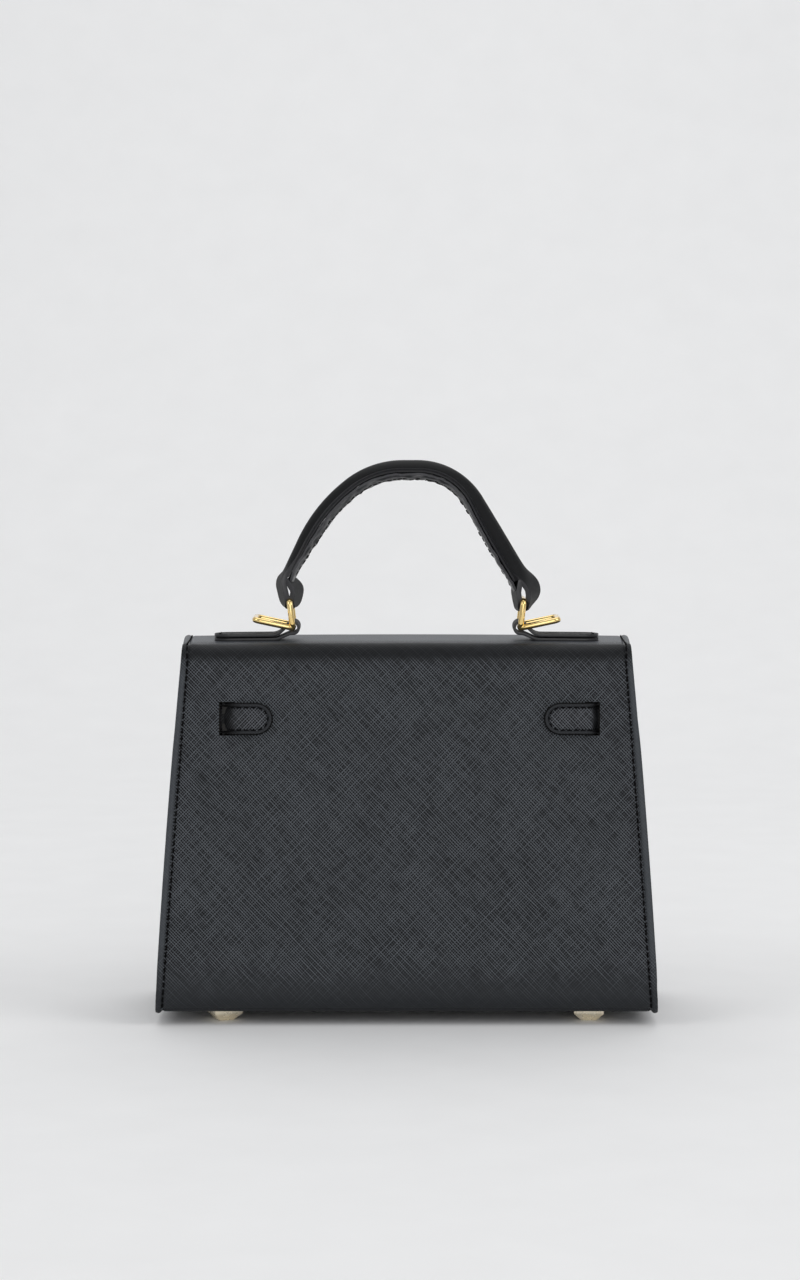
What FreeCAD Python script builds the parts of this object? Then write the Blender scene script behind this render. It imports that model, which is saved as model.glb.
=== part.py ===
"""Structured top handle bag: hide, gussets, boards, lining, feet, flap, lock, rings and arched handle.

Units are millimetres. Z is up and the bag stands on its feet at Z = 0. The back of the bag faces -Y,
the flap's front and the lock face +Y, and X runs along the width.
"""
import FreeCAD, Part
import Sketcher
import math
import os
import re
from FreeCAD import Placement, Rotation, Vector

SIZES = [
    ("base_width", 250.0, "back panel along its lower edge"),
    ("top_width", 222.7, "back panel along the top fold"),
    ("body_height", 183.0, "underside of the base to the top of the flap"),
    ("base_depth", 96.0, "front to back at the base"),
    ("panel_lean", 5.2, "degrees that front and back lean inwards"),
    ("leather", 1.6, "thickness of the hide"),
    ("board", 1.2, "stiffening board of front and back"),
    ("base_board", 2.0, "stiffening board of the base"),
    ("lining_cloth", 0.8, "lining"),
    ("bottom_roll", 9.0, "radius where a panel rolls under the base"),
    ("top_roll", 10.0, "radius where the back panel rolls over into the flap"),
    ("front_roll", 8.0, "radius where the flap turns down in front"),
    ("base_lip", 11.0, "part of a panel that lies under the base"),
    ("flap_drop", 78.0, "front of the flap, top to lower edge"),
    ("flap_corner", 16.0, "rounded lower corners of the flap"),
    ("flap_gap", 2.4, "air between the flap's lining and the front panel, filled by the magnets"),
    ("fold_gap", 0.3, "line of the fold between back panel and flap"),
    ("rim_drop", 9.0, "front panel's upper edge below the top of the flap"),
    ("seam", 5.0, "seam allowance along the sides"),
    ("pleat", 20.0, "depth of the gusset's fold at its upper edge"),
    ("gusset_drop", 16.0, "gusset's upper edge below the top of the flap"),
    ("strap_width", 16.0, "strap ends, belt halves, handle tabs and handle"),
    ("strap_thick", 2.0, "strap ends and belt halves"),
    ("strap_drop", 36.7, "centre line of strap ends and belt below the top"),
    ("slot_inset", 21.9, "slots, from the sides of the back panel and of the flap"),
    ("strap_length", 27.0, "strap end, slot to rounded tip"),
    ("strap_tail", 8.5, "strap end behind its slot"),
    ("belt_gap", 14.0, "between the belt halves, behind the lock plate"),
    ("slot_clear", 0.3, "slot round the strap that passes through it"),
    ("lock_width", 38.0, "lock plate"),
    ("lock_height", 24.0, "lock plate"),
    ("lock_thick", 1.6, "lock plate"),
    ("lock_corner", 6.0, "lock plate's corners"),
    ("back_plate", 0.8, "plate behind the lock, inside the flap"),
    ("bar_length", 21.0, "turning bar of the lock"),
    ("bar_width", 6.0, "turning bar of the lock"),
    ("bar_thick", 3.2, "turning bar of the lock"),
    ("lock_post", 4.0, "diameter of the bar's post"),
    ("running_fit", 0.1, "radial room round the turning post"),
    ("hole_room", 0.6, "radial room of holes in leather, board and lining"),
    ("bar_chamfer", 1.0, "round the face of the turning bar"),
    ("post_head", 6.8, "head that keeps the bar's post in"),
    ("post_head_thick", 0.5, "head that keeps the bar's post in"),
    ("back_width", 25.4, "plate behind the lock"),
    ("back_height", 16.0, "plate behind the lock"),
    ("magnet_diameter", 14.0, "magnetic catch"),
    ("magnet_front_thick", 1.2, "half of the catch on the front panel"),
    ("magnet_flap_thick", 0.9, "half of the catch inside the flap"),
    ("magnet_drop", 64.0, "catch below the top of the flap"),
    ("tab_length", 39.7, "handle tabs, corner bar to rounded end"),
    ("tab_leather", 1.7, "leather of the handle tabs"),
    ("tab_flare", 7.9, "where a tab's two layers meet, from the corner bar"),
    ("loop_room", 0.4, "room between a ring's bar and the leather round it"),
    ("ring_reach", 57.3, "corner bars of the rings, from the middle"),
    ("ring_height", 6.5, "corner bars above the top of the flap"),
    ("ring_wire", 3.0, "wire of the rings"),
    ("ring_inside", 17.6, "rings between their rails"),
    ("ring_rise", 13.6, "up arm, bar to bar"),
    ("ring_lean", 6.5, "degrees that the up arm leans outwards"),
    ("ring_side", 19.3, "side arm, bar to bar"),
    ("ring_lift", 12.0, "degrees that the side arm points up"),
    ("ring_corner", 3.0, "bend radius of the rings' wire"),
    ("grip_rise", 90.5, "crown of the handle's outer line above the top of the flap"),
    ("grip_flare", 9.3, "handle's outer line at its foot, beyond the corner bars"),
    ("grip_foot", 26.0, "height above the flap where the handle narrows to its loops"),
    ("shoulder_reach", 47.8, "bend of the handle's left leg, from the middle"),
    ("shoulder_rise", 67.2, "bend of the handle's left leg above the top of the flap"),
    ("crown_left", 19.5, "left bend of the crown, from the middle"),
    ("crown_right", 26.4, "right bend of the crown, from the middle"),
    ("loop_tail", 7.0, "handle's strip behind a ring's upper bar, above the bar"),
    ("loop_slack", 1.0, "handle's loop wider than the ring's bar needs, on each side"),
    ("cover_leather", 2.4, "outer and inner strips of the handle"),
    ("grip_core", 4.8, "filler core of the handle"),
    ("core_start", 11.0, "ends of the core, along the leg from the handle's foot"),
    ("underside_start", 9.5, "ends of the inner strip, along the leg from the handle's foot"),
    ("foot_height", 6.0, "pyramid feet"),
    ("foot_side", 16.0, "pyramid feet where they meet the base"),
    ("foot_band", 2.2, "straight band of a foot, between its pyramid and the base"),
    ("foot_tip", 5.5, "flat tip of a foot"),
    ("foot_side_inset", 33.5, "middle of a foot, from the side edge of the base"),
    ("foot_end_inset", 20.0, "middle of a foot, from the front or back edge of the base"),
    ("foot_post", 4.0, "post of a foot"),
    ("washer_side", 11.0, "washer on a foot's post"),
    ("washer_thick", 1.0, "washer on a foot's post"),
    ("pocket_width", 120.0, "slip pocket"),
    ("pocket_height", 85.0, "slip pocket"),
    ("pocket_room", 2.0, "room inside the slip pocket"),
    ("pocket_hem", 2.4, "sewn edge of the slip pocket"),
    ("lining_start", 15.0, "flap lining's rear edge, from the top fold"),
]

doc = FreeCAD.newDocument("top_handle_bag")
sheet = doc.addObject("Spreadsheet::Sheet", "Sizes")
for row, (alias, size, meaning) in enumerate(SIZES, start=1):
    sheet.set(f"A{row}", meaning)
    sheet.set(f"B{row}", str(size))
    sheet.setAlias(f"B{row}", alias)
doc.recompute()


def named(formula):
    """Formula in which every <size> is read from the sheet."""
    return re.sub(r"<(\w+)>", r"Sizes.\1", formula)


COSINE = "cos(<panel_lean> * 1 deg)"
TANGENT = "tan(<panel_lean> * 1 deg)"
TOP = "(<foot_height> + <body_height>)"
RIM = f"({TOP} - <rim_drop>)"
GUSSET_TOP = f"({TOP} - <gusset_drop>)"
FLOOR = "(<foot_height> + <leather>)"
FLAP_STACK = "(<flap_gap> + <lining_cloth> + <leather>)"
WALL = "(<leather> + <board>)"
STRAP_Z = f"({TOP} - <strap_drop>)"
FOOT_X = "(<base_width> / 2 - <foot_side_inset>)"
FOOT_Y = "(<base_depth> / 2 - <foot_end_inset>)"


def value(formula):
    """Number that a formula gives with the sheet's sizes."""
    return float(sheet.evalExpression(named(formula)))


def face_y(height, inset="0"):
    """Distance of a leaning face from the middle at a height, moved in by an inset square to the face."""
    return f"(<base_depth> / 2 - ({height} - <foot_height>) * {TANGENT} - ({inset}) / {COSINE})"


def side_x(height, inset="0"):
    """Half width of the panels at a height."""
    return (f"(<base_width> / 2 - (<base_width> - <top_width>) / 2 * ({height} - <foot_height>)"
            f" / <body_height> - ({inset}))")


SLOT_X = side_x(STRAP_Z, "<slot_inset>")


def new_body(label):
    body = doc.addObject("PartDesign::Body", label)
    body.Label = label
    return body


def new_sketch(body, plane, offset=None):
    """Sketch on one of the body's own origin planes, moved along the plane's normal by a formula."""
    sketch = body.newObject("Sketcher::SketchObject", "Sketch")
    support = [f for f in body.Origin.OriginFeatures if f.Role == plane]
    sketch.AttachmentSupport = [(support[0], "")]
    sketch.MapMode = "FlatFace"
    if offset:
        sketch.setExpression(".AttachmentOffset.Base.z", named(offset))
    return sketch


def bind_point(sketch, geometry, position, formulas):
    """Tie a point of the sketch to the sheet by its two coordinates."""
    for kind, axis, formula in zip(("DistanceX", "DistanceY"), (-2, -1), formulas):
        distance = value(formula)
        if abs(distance) < 1e-9:
            sketch.addConstraint(Sketcher.Constraint("PointOnObject", geometry, position, axis))
            continue
        number = sketch.addConstraint(Sketcher.Constraint(kind, -1, 1, geometry, position, distance))
        sketch.setExpression(f"Constraints[{number}]", named(formula))


def add_polygon(sketch, corners):
    """Closed outline with straight sides; every corner is a pair of formulas."""
    first = sketch.GeometryCount
    points = [Vector(value(x), value(y), 0) for x, y in corners]
    count = len(points)
    for i in range(count):
        sketch.addGeometry(Part.LineSegment(points[i], points[(i + 1) % count]), False)
    for i in range(count):
        sketch.addConstraint(Sketcher.Constraint("Coincident", first + i, 2, first + (i + 1) % count, 1))
    for i in range(count):
        bind_point(sketch, first + i, 1, corners[i])


def add_box(sketch, left, right, low, high):
    add_polygon(sketch, [(left, low), (right, low), (right, high), (left, high)])


def add_circle(sketch, centre, diameter):
    place = Vector(value(centre[0]), value(centre[1]), 0)
    circle = sketch.addGeometry(Part.Circle(place, Vector(0, 0, 1), value(diameter) / 2), False)
    number = sketch.addConstraint(Sketcher.Constraint("Diameter", circle, value(diameter)))
    sketch.setExpression(f"Constraints[{number}]", named(diameter))
    bind_point(sketch, circle, 3, centre)


def pad(body, sketch, length, symmetric=True, reverse=False):
    feature = body.newObject("PartDesign::Pad", "Pad")
    feature.Profile = sketch
    feature.SideType = "Symmetric" if symmetric else "One side"
    feature.Reversed = reverse
    feature.setExpression("Length", named(length))
    return feature


def pocket(body, sketch, length, symmetric=False, reverse=False):
    feature = body.newObject("PartDesign::Pocket", "Pocket")
    feature.Profile = sketch
    feature.SideType = "Symmetric" if symmetric else "One side"
    feature.Reversed = reverse
    feature.setExpression("Length", named(length))
    return feature


def edges_where(shape, test):
    return [f"Edge{i}" for i, edge in enumerate(shape.Edges, start=1) if test(edge)]


def dress(body, kind, measure, size, test):
    """Fillet or chamfer the edges of the body's last feature for which the test holds."""
    doc.recompute()
    base = body.Tip
    names = edges_where(base.Shape, test)
    feature = body.newObject(f"PartDesign::{kind}", kind)
    feature.Base = (base, names)
    feature.setExpression(measure, named(size))
    return feature


def fillet(body, radius, test):
    return dress(body, "Fillet", "Radius", radius, test)


def runs_along(edge, direction):
    ends = edge.Vertexes[-1].Point - edge.Vertexes[0].Point
    return ends.Length > 1e-6 and abs(abs(ends.normalize().dot(direction)) - 1) < 1e-6


def near(point, place, reach=0.01):
    return all(abs(p - q) < reach for p, q in zip(point, place) if q is not None)


X_AXIS = Vector(1, 0, 0)
Y_AXIS = Vector(0, 1, 0)
Z_AXIS = Vector(0, 0, 1)


def upright(edge):
    """Test for an edge square to the front view."""
    return runs_along(edge, Y_AXIS)


def fold_edge(y_formula, z_formula):
    """Test for the edge along the width that passes a point of the side view."""
    y, z = value(y_formula), value(z_formula)
    return lambda edge: runs_along(edge, X_AXIS) and near(edge.Vertexes[0].Point, (None, y, z))


def trim_sides(body, inset):
    """Cut both ends of a wide sheet to the panels' sloping sides."""
    sketch = new_sketch(body, "XZ_Plane")
    beyond = "<base_width>"
    under = "-<foot_height>"
    over = f"({TOP} + <grip_rise>)"
    for sign in ("", "-"):
        add_polygon(sketch, [
            (sign + side_x(under, inset), under), (sign + beyond, under),
            (sign + beyond, over), (sign + side_x(over, inset), over)])
    return pocket(body, sketch, "3 * <base_depth>", symmetric=True)


def boolean(kind, label, base, tool):
    feature = doc.addObject(kind, label)
    feature.Label = label
    feature.Base = base
    feature.Tool = tool
    return feature


def feature_of(label, shape):
    feature = doc.addObject("Part::Feature", label)
    feature.Label = label
    feature.Shape = shape
    return feature


# The hide: back panel, top fold and flap are one sheet
REAR_TOP = f"(-{face_y(TOP)})"
FLAP_END = f"({TOP} - <flap_drop>)"


def hide_corners(depth):
    """Bends of the hide's side view at a depth below its outer face, from the base to the flap's edge."""
    low = f"(<foot_height> + {depth})"
    high = f"({TOP} - {depth})"
    return [
        ("(-<base_depth> / 2 + <base_lip>)", low),
        (f"(-{face_y(low, depth)})", low),
        (f"(-{face_y(high, depth)})", high),
        (face_y(high, f"{depth} - {FLAP_STACK}"), high),
        (face_y(FLAP_END, f"{depth} - {FLAP_STACK}"), FLAP_END),
    ]


def make_hide():
    body = new_body("hide")
    sketch = new_sketch(body, "YZ_Plane")
    outer = hide_corners("0")
    inner = hide_corners("<leather>")
    add_polygon(sketch, outer + inner[::-1])
    pad(body, sketch, "<base_width>")
    radii = ("<bottom_roll>", "<top_roll>", "<front_roll>")
    for bend, radius in enumerate(radii, start=1):
        fillet(body, radius, fold_edge(*outer[bend]))
        fillet(body, f"{radius} - <leather>", fold_edge(*inner[bend]))
    trim_sides(body, "0")
    slots = new_sketch(body, "XZ_Plane")
    half = "(<strap_width> / 2 + <slot_clear>)"
    for sign in ("", "-"):
        add_box(slots, f"{sign}({SLOT_X} - <slot_clear>)",
                f"{sign}({SLOT_X} + <strap_thick> + <slot_clear>)",
                f"{STRAP_Z} - {half}", f"{STRAP_Z} + {half}")
    pocket(body, slots, "3 * <base_depth>", symmetric=True)
    hole = new_sketch(body, "XZ_Plane")
    add_circle(hole, ("0", STRAP_Z), "<lock_post> + 2 * <hole_room>")
    pocket(body, hole, "<base_depth>")
    return body


def split_prism(label, side):
    """Block on one side of the mitre line of the top fold: side -1 holds the back panel, +1 the flap."""
    body = new_body(label)
    sketch = new_sketch(body, "YZ_Plane")
    outer = hide_corners("0")[2]
    inner = hide_corners("<top_roll>")[2]
    shift = f"({side} * <fold_gap> / 2)"
    mitre = "((90 - <panel_lean>) / 2 * 1 deg)"
    out = (f"({outer[0]} - <base_depth> * sin{mitre} + {shift})",
           f"({outer[1]} + <base_depth> * cos{mitre} + {shift})")
    mid = (f"({inner[0]} + {shift})", f"({inner[1]} + {shift})")
    low = "-<foot_height>" if side < 0 else "<foot_height> + <bottom_roll>"
    far = f"{2 * side} * <base_depth>"
    add_polygon(sketch, [out, mid, (mid[0], low), (far, low), (far, out[1])])
    pad(body, sketch, "2 * <base_width>")
    return body


def flap_outline(label, low, inset):
    """Block with the flap's front outline: sloping sides and rounded lower corners."""
    body = new_body(label)
    sketch = new_sketch(body, "XZ_Plane")
    high = f"({TOP} + <top_roll>)"
    corners = [(f"-{side_x(low, inset)}", low), (side_x(low, inset), low),
               (side_x(high, inset), high), (f"-{side_x(high, inset)}", high)]
    add_polygon(sketch, corners)
    pad(body, sketch, "3 * <base_depth>")
    bottom = value(low)
    fillet(body, f"<flap_corner> - ({inset})", lambda edge: upright(edge)
           and near(edge.Vertexes[0].Point, (None, None, bottom)))
    return body


hide = make_hide()
rear_panel = boolean("Part::Common", "rear_panel", hide, split_prism("rear_side", -1))
flap_sheet = boolean("Part::Common", "flap_sheet", hide, split_prism("flap_side", 1))
flap = boolean("Part::Common", "flap", flap_sheet, flap_outline("flap_outline", FLAP_END, "0"))


# Panels and boards of the body
def make_front_panel():
    body = new_body("front_panel")
    sketch = new_sketch(body, "YZ_Plane")
    bends = []
    for depth in ("0", "<leather>"):
        low = f"(<foot_height> + {depth})"
        bends.append([("(<base_depth> / 2 - <base_lip>)", low), (face_y(low, depth), low),
                      (face_y(RIM, depth), RIM)])
    add_polygon(sketch, bends[0] + bends[1][::-1])
    pad(body, sketch, "<base_width>")
    fillet(body, "<bottom_roll>", fold_edge(*bends[0][1]))
    fillet(body, "<bottom_roll> - <leather>", fold_edge(*bends[1][1]))
    trim_sides(body, "0")
    return body


def leaning_board(label, side, top):
    """Flat board behind a leaning panel; side is the sign of Y."""
    body = new_body(label)
    sketch = new_sketch(body, "YZ_Plane")
    low = f"({FLOOR} + <bottom_roll>)"
    add_polygon(sketch, [
        (f"{side}{face_y(low, '<leather>')}", low), (f"{side}{face_y(top, '<leather>')}", top),
        (f"{side}{face_y(top, WALL)}", top), (f"{side}{face_y(low, WALL)}", low)])
    pad(body, sketch, "<base_width>")
    trim_sides(body, "<seam> + 2 * <leather>")
    return body


def make_rear_board():
    body = leaning_board("rear_board", "-", f"({GUSSET_TOP} - <board>)")
    sketch = new_sketch(body, "XZ_Plane")
    half = "(<strap_width> / 2 + 2 * <slot_clear>)"
    for sign in ("", "-"):
        add_box(sketch, f"{sign}({SLOT_X} - 2 * <slot_clear>)", f"{sign}<base_width>",
                f"{STRAP_Z} - {half}", f"{STRAP_Z} + {half}")
    pocket(body, sketch, "<base_depth>", reverse=True)
    return body


FEET = [(x, y) for y in ("-", "") for x in ("-", "")]


def foot_holes(body):
    sketch = new_sketch(body, "XY_Plane", "<foot_height>")
    for x, y in FEET:
        add_circle(sketch, (f"{x}{FOOT_X}", f"{y}{FOOT_Y}"), "<foot_post> + 2 * <hole_room>")
    pocket(body, sketch, "<foot_height>", reverse=True)


def make_base_panel():
    body = new_body("base_panel")
    sketch = new_sketch(body, "XY_Plane", "<foot_height>")
    half = "(<base_depth> / 2 - <base_lip>)"
    add_box(sketch, "-" + side_x(FLOOR), side_x(FLOOR), f"-{half}", half)
    pad(body, sketch, "<leather>", symmetric=False)
    foot_holes(body)
    return body


def make_base_board():
    body = new_body("base_board")
    sketch = new_sketch(body, "XY_Plane", FLOOR)
    across = side_x(FLOOR, "<seam> + 2 * <leather>")
    half = "(<base_depth> / 2 - <bottom_roll> - <leather>)"
    add_box(sketch, f"-{across}", across, f"-{half}", half)
    pad(body, sketch, "<base_board>", symmetric=False)
    foot_holes(body)
    return body


# Gussets: a straight wall at the base that folds inwards towards the opening
def pleat_at(height):
    return f"(<leather> / 4 + <pleat> * ({height} - {FLOOR}) / ({GUSSET_TOP} - {FLOOR}))"


def gusset_section(sign, height):
    edge = side_x(height)
    wall = side_x(height, "<seam>")
    inside = side_x(height, "<seam> + <leather>")
    face = face_y(height, "<leather>")
    back = f"({face} - <leather>)"
    crease = f"({wall} - {pleat_at(height)})"
    corners = [(edge, f"-{face}"), (edge, f"-{back}"), (wall, f"-{back}"), (crease, "0"), (wall, back),
               (edge, back), (edge, face), (inside, face), (f"({crease} - <leather>)", "0"),
               (inside, f"-{face}")]
    return [(sign + x, y) for x, y in corners]


def make_cavity():
    """Room between the inner faces of the panels, used to trim what meets their lower roll."""
    body = new_body("cavity")
    sketch = new_sketch(body, "YZ_Plane")
    low, high = (face_y(FLOOR, "<leather>"), FLOOR), (face_y(TOP, "<leather>"), TOP)
    corners = [(f"-{low[0]}", low[1]), low, high, (f"-{high[0]}", high[1])]
    add_polygon(sketch, corners)
    pad(body, sketch, "2 * <base_width>")
    for corner in corners[:2]:
        fillet(body, "<bottom_roll> - <leather>", fold_edge(*corner))
    return body


def folded_block(low, high, creases):
    """Closed block between two outlines with the same corners; each side is two flat triangles.

    Low and high are lists of points, and creases names the corners that a fold starts from.
    """
    faces = [Part.Face(Part.makePolygon(ring + ring[:1])) for ring in (low, high)]
    count = len(low)
    for i in range(count):
        j = (i + 1) % count
        halves = [(low[i], low[j], high[i]), (low[j], high[j], high[i])]
        if i in creases:
            halves = [(low[i], low[j], high[j]), (low[i], high[j], high[i])]
        faces += [Part.Face(Part.makePolygon(half + half[:1])) for half in halves]
    solid = Part.Solid(Part.Shell(faces))
    solid.fix(1e-6, 1e-6, 1e-6)
    return solid


def points_at(corners, height):
    return [Vector(value(x), value(y), value(height)) for x, y in corners]


def make_gusset(label, sign, cavity):
    """Side wall with seam allowances; it folds in along its middle towards the opening."""
    rings = [points_at(gusset_section(sign, height), height) for height in (FLOOR, GUSSET_TOP)]
    wall = feature_of(f"{label}_wall", folded_block(*rings, creases=(3, 8)))
    return boolean("Part::Common", label, wall, cavity)


# Lining and slip pocket
LINING_FLOOR = f"({FLOOR} + <base_board> + <washer_thick>)"


def lining_section(height, cloth):
    face = face_y(height, f"{WALL} + {cloth}")
    crease = f"({side_x(height, '<seam> + 2 * <leather>')} - {pleat_at(height)} - {cloth})"
    corner = (f"({side_x(height, '<seam> + 2 * <leather>')} - {cloth}"
              f" - {pleat_at(height)} * {WALL} / {face_y(height, '<leather>')})")
    return [(f"-{corner}", f"-{face}"), (corner, f"-{face}"), (crease, "0"),
            (corner, face), (f"-{corner}", face), (f"-{crease}", "0")]


def make_lining(cavity):
    blocks = []
    for label, cloth in (("lining_outside", "0"), ("lining_inside", "<lining_cloth>")):
        heights = (f"({LINING_FLOOR} + {cloth})", GUSSET_TOP)
        rings = [points_at(lining_section(height, cloth), height) for height in heights]
        blocks.append(feature_of(label, folded_block(*rings, creases=(2, 5))))
    bag = boolean("Part::Cut", "lining_bag", *blocks)
    return boolean("Part::Common", "lining", bag, cavity)


def lean_on(body, side, height, inset):
    """Stand a body on a leaning face: its own -Y points out of the bag, side is -1 for the back."""
    away = side * value(face_y(height, inset))
    turn = Rotation(0 if side < 0 else 180, 0, -value("<panel_lean>"))
    body.Placement = Placement(Vector(0, away, value(height)), turn)
    return body


POCKET_MIDDLE = f"(({LINING_FLOOR} + {GUSSET_TOP}) / 2)"


def make_pocket():
    body = new_body("slip_pocket")
    sketch = new_sketch(body, "XZ_Plane")
    half, tall = "<pocket_width> / 2", "<pocket_height> / 2"
    add_box(sketch, f"-{half}", half, f"-{tall}", tall)
    pad(body, sketch, "<pocket_room> + <lining_cloth>", symmetric=False, reverse=True)
    room = new_sketch(body, "XZ_Plane")
    hem = "<pocket_hem>"
    add_box(room, f"-({half} - {hem})", f"({half} - {hem})", f"-({tall} - {hem})", f"({tall} + {hem})")
    pocket(body, room, "<pocket_room>")
    return lean_on(body, -1, POCKET_MIDDLE, f"{WALL} + <lining_cloth>")


# Feet
def make_foot(label, x, y):
    """Pyramid stud with a flat tip below a straight band; its post goes through the base to a washer."""
    stud = doc.addObject("Part::Wedge", f"{label}_stud")
    stud.setExpression("Ymin", "0")
    stud.setExpression("Ymax", named("<foot_height> - <foot_band>"))
    for axis in "XZ":
        for end, sign in (("min", "-"), ("max", "")):
            stud.setExpression(f"{axis}{end}", named(f"{sign}<foot_tip> / 2"))
            stud.setExpression(f"{axis}2{end}", named(f"{sign}<foot_side> / 2"))
    stud.Placement.Rotation = Rotation(X_AXIS, 90)
    band = doc.addObject("Part::Box", f"{label}_band")
    band.setExpression("Length", named("<foot_side>"))
    band.setExpression("Width", named("<foot_side>"))
    band.setExpression("Height", named("<foot_band>"))
    band.setExpression(".Placement.Base.x", named(f"{x + FOOT_X} - <foot_side> / 2"))
    band.setExpression(".Placement.Base.y", named(f"{y + FOOT_Y} - <foot_side> / 2"))
    band.setExpression(".Placement.Base.z", named("<foot_height> - <foot_band>"))
    post = doc.addObject("Part::Cylinder", f"{label}_post")
    post.setExpression("Radius", named("<foot_post> / 2"))
    post.setExpression("Height", named("<leather> + <base_board> + <washer_thick>"))
    post.setExpression(".Placement.Base.z", named("<foot_height>"))
    for piece in (stud, post):
        piece.setExpression(".Placement.Base.x", named(x + FOOT_X))
        piece.setExpression(".Placement.Base.y", named(y + FOOT_Y))
    head = boolean("Part::Fuse", f"{label}_head", stud, band)
    return boolean("Part::Fuse", label, head, post)


def make_washers():
    """The four square washers under the lining, one per foot."""
    washers = []
    for x, y in FEET:
        body = new_body("washer")
        sketch = new_sketch(body, "XY_Plane", f"{FLOOR} + <base_board>")
        side = "<washer_side> / 2"
        add_box(sketch, f"({x}{FOOT_X} - {side})", f"({x}{FOOT_X} + {side})",
                f"({y}{FOOT_Y} - {side})", f"({y}{FOOT_Y} + {side})")
        add_circle(sketch, (f"{x}{FOOT_X}", f"{y}{FOOT_Y}"), "<foot_post>")
        pad(body, sketch, "<washer_thick>", symmetric=False)
        washers.append(body)
    group = doc.addObject("Part::Compound", "foot_washers")
    group.Label = "foot_washers"
    group.Links = washers
    return group


# Straps that come out of a slot: the ends at the back and the belt halves on the flap
ROUND_TIP = 0.44  # corner radius of a rounded tip, as a share of the strip's width


def make_strap(label, side, sign, length, tail):
    """Strap seen from above: plate on the face, step through the slot, tail behind the face."""
    body = new_body(label)
    sketch = new_sketch(body, "XY_Plane")
    slot, step = SLOT_X, f"({SLOT_X} + <strap_thick>)"
    tip = f"({SLOT_X} - {length})"
    corners = [(tip, "-<strap_thick>"), (step, "-<strap_thick>"), (step, "<leather>")]
    if tail:
        end = f"({step} + {tail})"
        corners += [(end, "<leather>"), (end, WALL), (slot, WALL)]
    else:
        corners += [(slot, "<leather>")]
    corners += [(slot, "0"), (tip, "0")]
    add_polygon(sketch, [(sign + x, y) for x, y in corners])
    pad(body, sketch, "<strap_width>")
    at = (value(sign + tip), None, None)
    if tail:
        fillet(body, f"<strap_width> * {ROUND_TIP}",
               lambda edge: upright(edge) and near(edge.Vertexes[0].Point, at))
    inset = "0" if side < 0 else f"-{FLAP_STACK}"
    return lean_on(body, side, STRAP_Z, inset)


# Flap lining, lock and magnetic catch
def make_flap_lining():
    body = new_body("flap_lining_sheet")
    sketch = new_sketch(body, "YZ_Plane")
    bends = []
    for depth in ("<leather>", "(<leather> + <lining_cloth>)"):
        corners = hide_corners(depth)
        start = (f"({REAR_TOP} + <lining_start>)", corners[3][1])
        end = f"({FLAP_END} + <leather>)"
        bends.append([start, corners[3], (face_y(end, f"{depth} - {FLAP_STACK}"), end)])
    add_polygon(sketch, bends[0] + bends[1][::-1])
    pad(body, sketch, "<base_width>")
    fillet(body, "<front_roll> - <leather>", fold_edge(*bends[0][1]))
    fillet(body, "<front_roll> - <leather> - <lining_cloth>", fold_edge(*bends[1][1]))
    trim_sides(body, "<leather>")
    hole = new_sketch(body, "XZ_Plane")
    add_circle(hole, ("0", STRAP_Z), "<lock_post> + 2 * <hole_room>")
    pocket(body, hole, "<base_depth>")
    outline = flap_outline("flap_lining_outline", f"({FLAP_END} + <leather>)", "<leather>")
    return boolean("Part::Common", "flap_lining", body, outline)


def on_flap(body):
    return lean_on(body, 1, STRAP_Z, f"-{FLAP_STACK}")


def make_lock_plate():
    body = new_body("lock_plate")
    sketch = new_sketch(body, "XZ_Plane", "<strap_thick>")
    across, tall = "<lock_width> / 2", "<lock_height> / 2"
    add_box(sketch, f"-{across}", across, f"-{tall}", tall)
    pad(body, sketch, "<lock_thick>", symmetric=False)
    fillet(body, "<lock_corner>", upright)
    block = new_sketch(body, "XZ_Plane")
    reach = "(<belt_gap> / 2 - <slot_clear>)"
    add_box(block, f"-{reach}", reach, f"-{reach}", reach)
    pad(body, block, "<strap_thick>", symmetric=False)
    hole = new_sketch(body, "XZ_Plane", "-<leather>")
    add_circle(hole, ("0", "0"), "<lock_post> + 2 * <running_fit>")
    pocket(body, hole, "2 * (<strap_thick> + <lock_thick> + <leather>)", reverse=True)
    return on_flap(body)


def make_back_plate():
    body = new_body("lock_back_plate")
    sketch = new_sketch(body, "XZ_Plane", "-(<leather> + <lining_cloth>)")
    across, tall = "<back_width> / 2", "<back_height> / 2"
    add_box(sketch, f"-{across}", across, f"-{tall}", tall)
    add_circle(sketch, ("0", "0"), "<lock_post> + 2 * <running_fit>")
    pad(body, sketch, "<back_plate>", symmetric=False, reverse=True)
    return on_flap(body)


def make_lock_bar():
    """Bar that turns on its post; a head behind the back plate keeps the post in."""
    body = new_body("lock_bar")
    face = "(<strap_thick> + <lock_thick> + <slot_clear>)"
    bar = new_sketch(body, "XZ_Plane", face)
    across, tall = "<bar_length> / 2", "<bar_width> / 2"
    add_box(bar, f"-{across}", across, f"-{tall}", tall)
    pad(body, bar, "<bar_thick>", symmetric=False)
    fillet(body, f"<bar_width> * {ROUND_TIP}", upright)
    crown = value(f"-({face} + <bar_thick>)")
    dress(body, "Chamfer", "Size", "<bar_chamfer>",
          lambda edge: all(near(v.Point, (None, crown, None)) for v in edge.Vertexes))
    post = new_sketch(body, "XZ_Plane", face)
    add_circle(post, ("0", "0"), "<lock_post>")
    behind = "(<leather> + <lining_cloth> + <back_plate> + <slot_clear>)"
    pad(body, post, f"{face} + {behind}", symmetric=False, reverse=True)
    head = new_sketch(body, "XZ_Plane", f"-{behind}")
    add_circle(head, ("0", "0"), "<post_head>")
    pad(body, head, "<post_head_thick>", symmetric=False, reverse=True)
    return on_flap(body)


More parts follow.
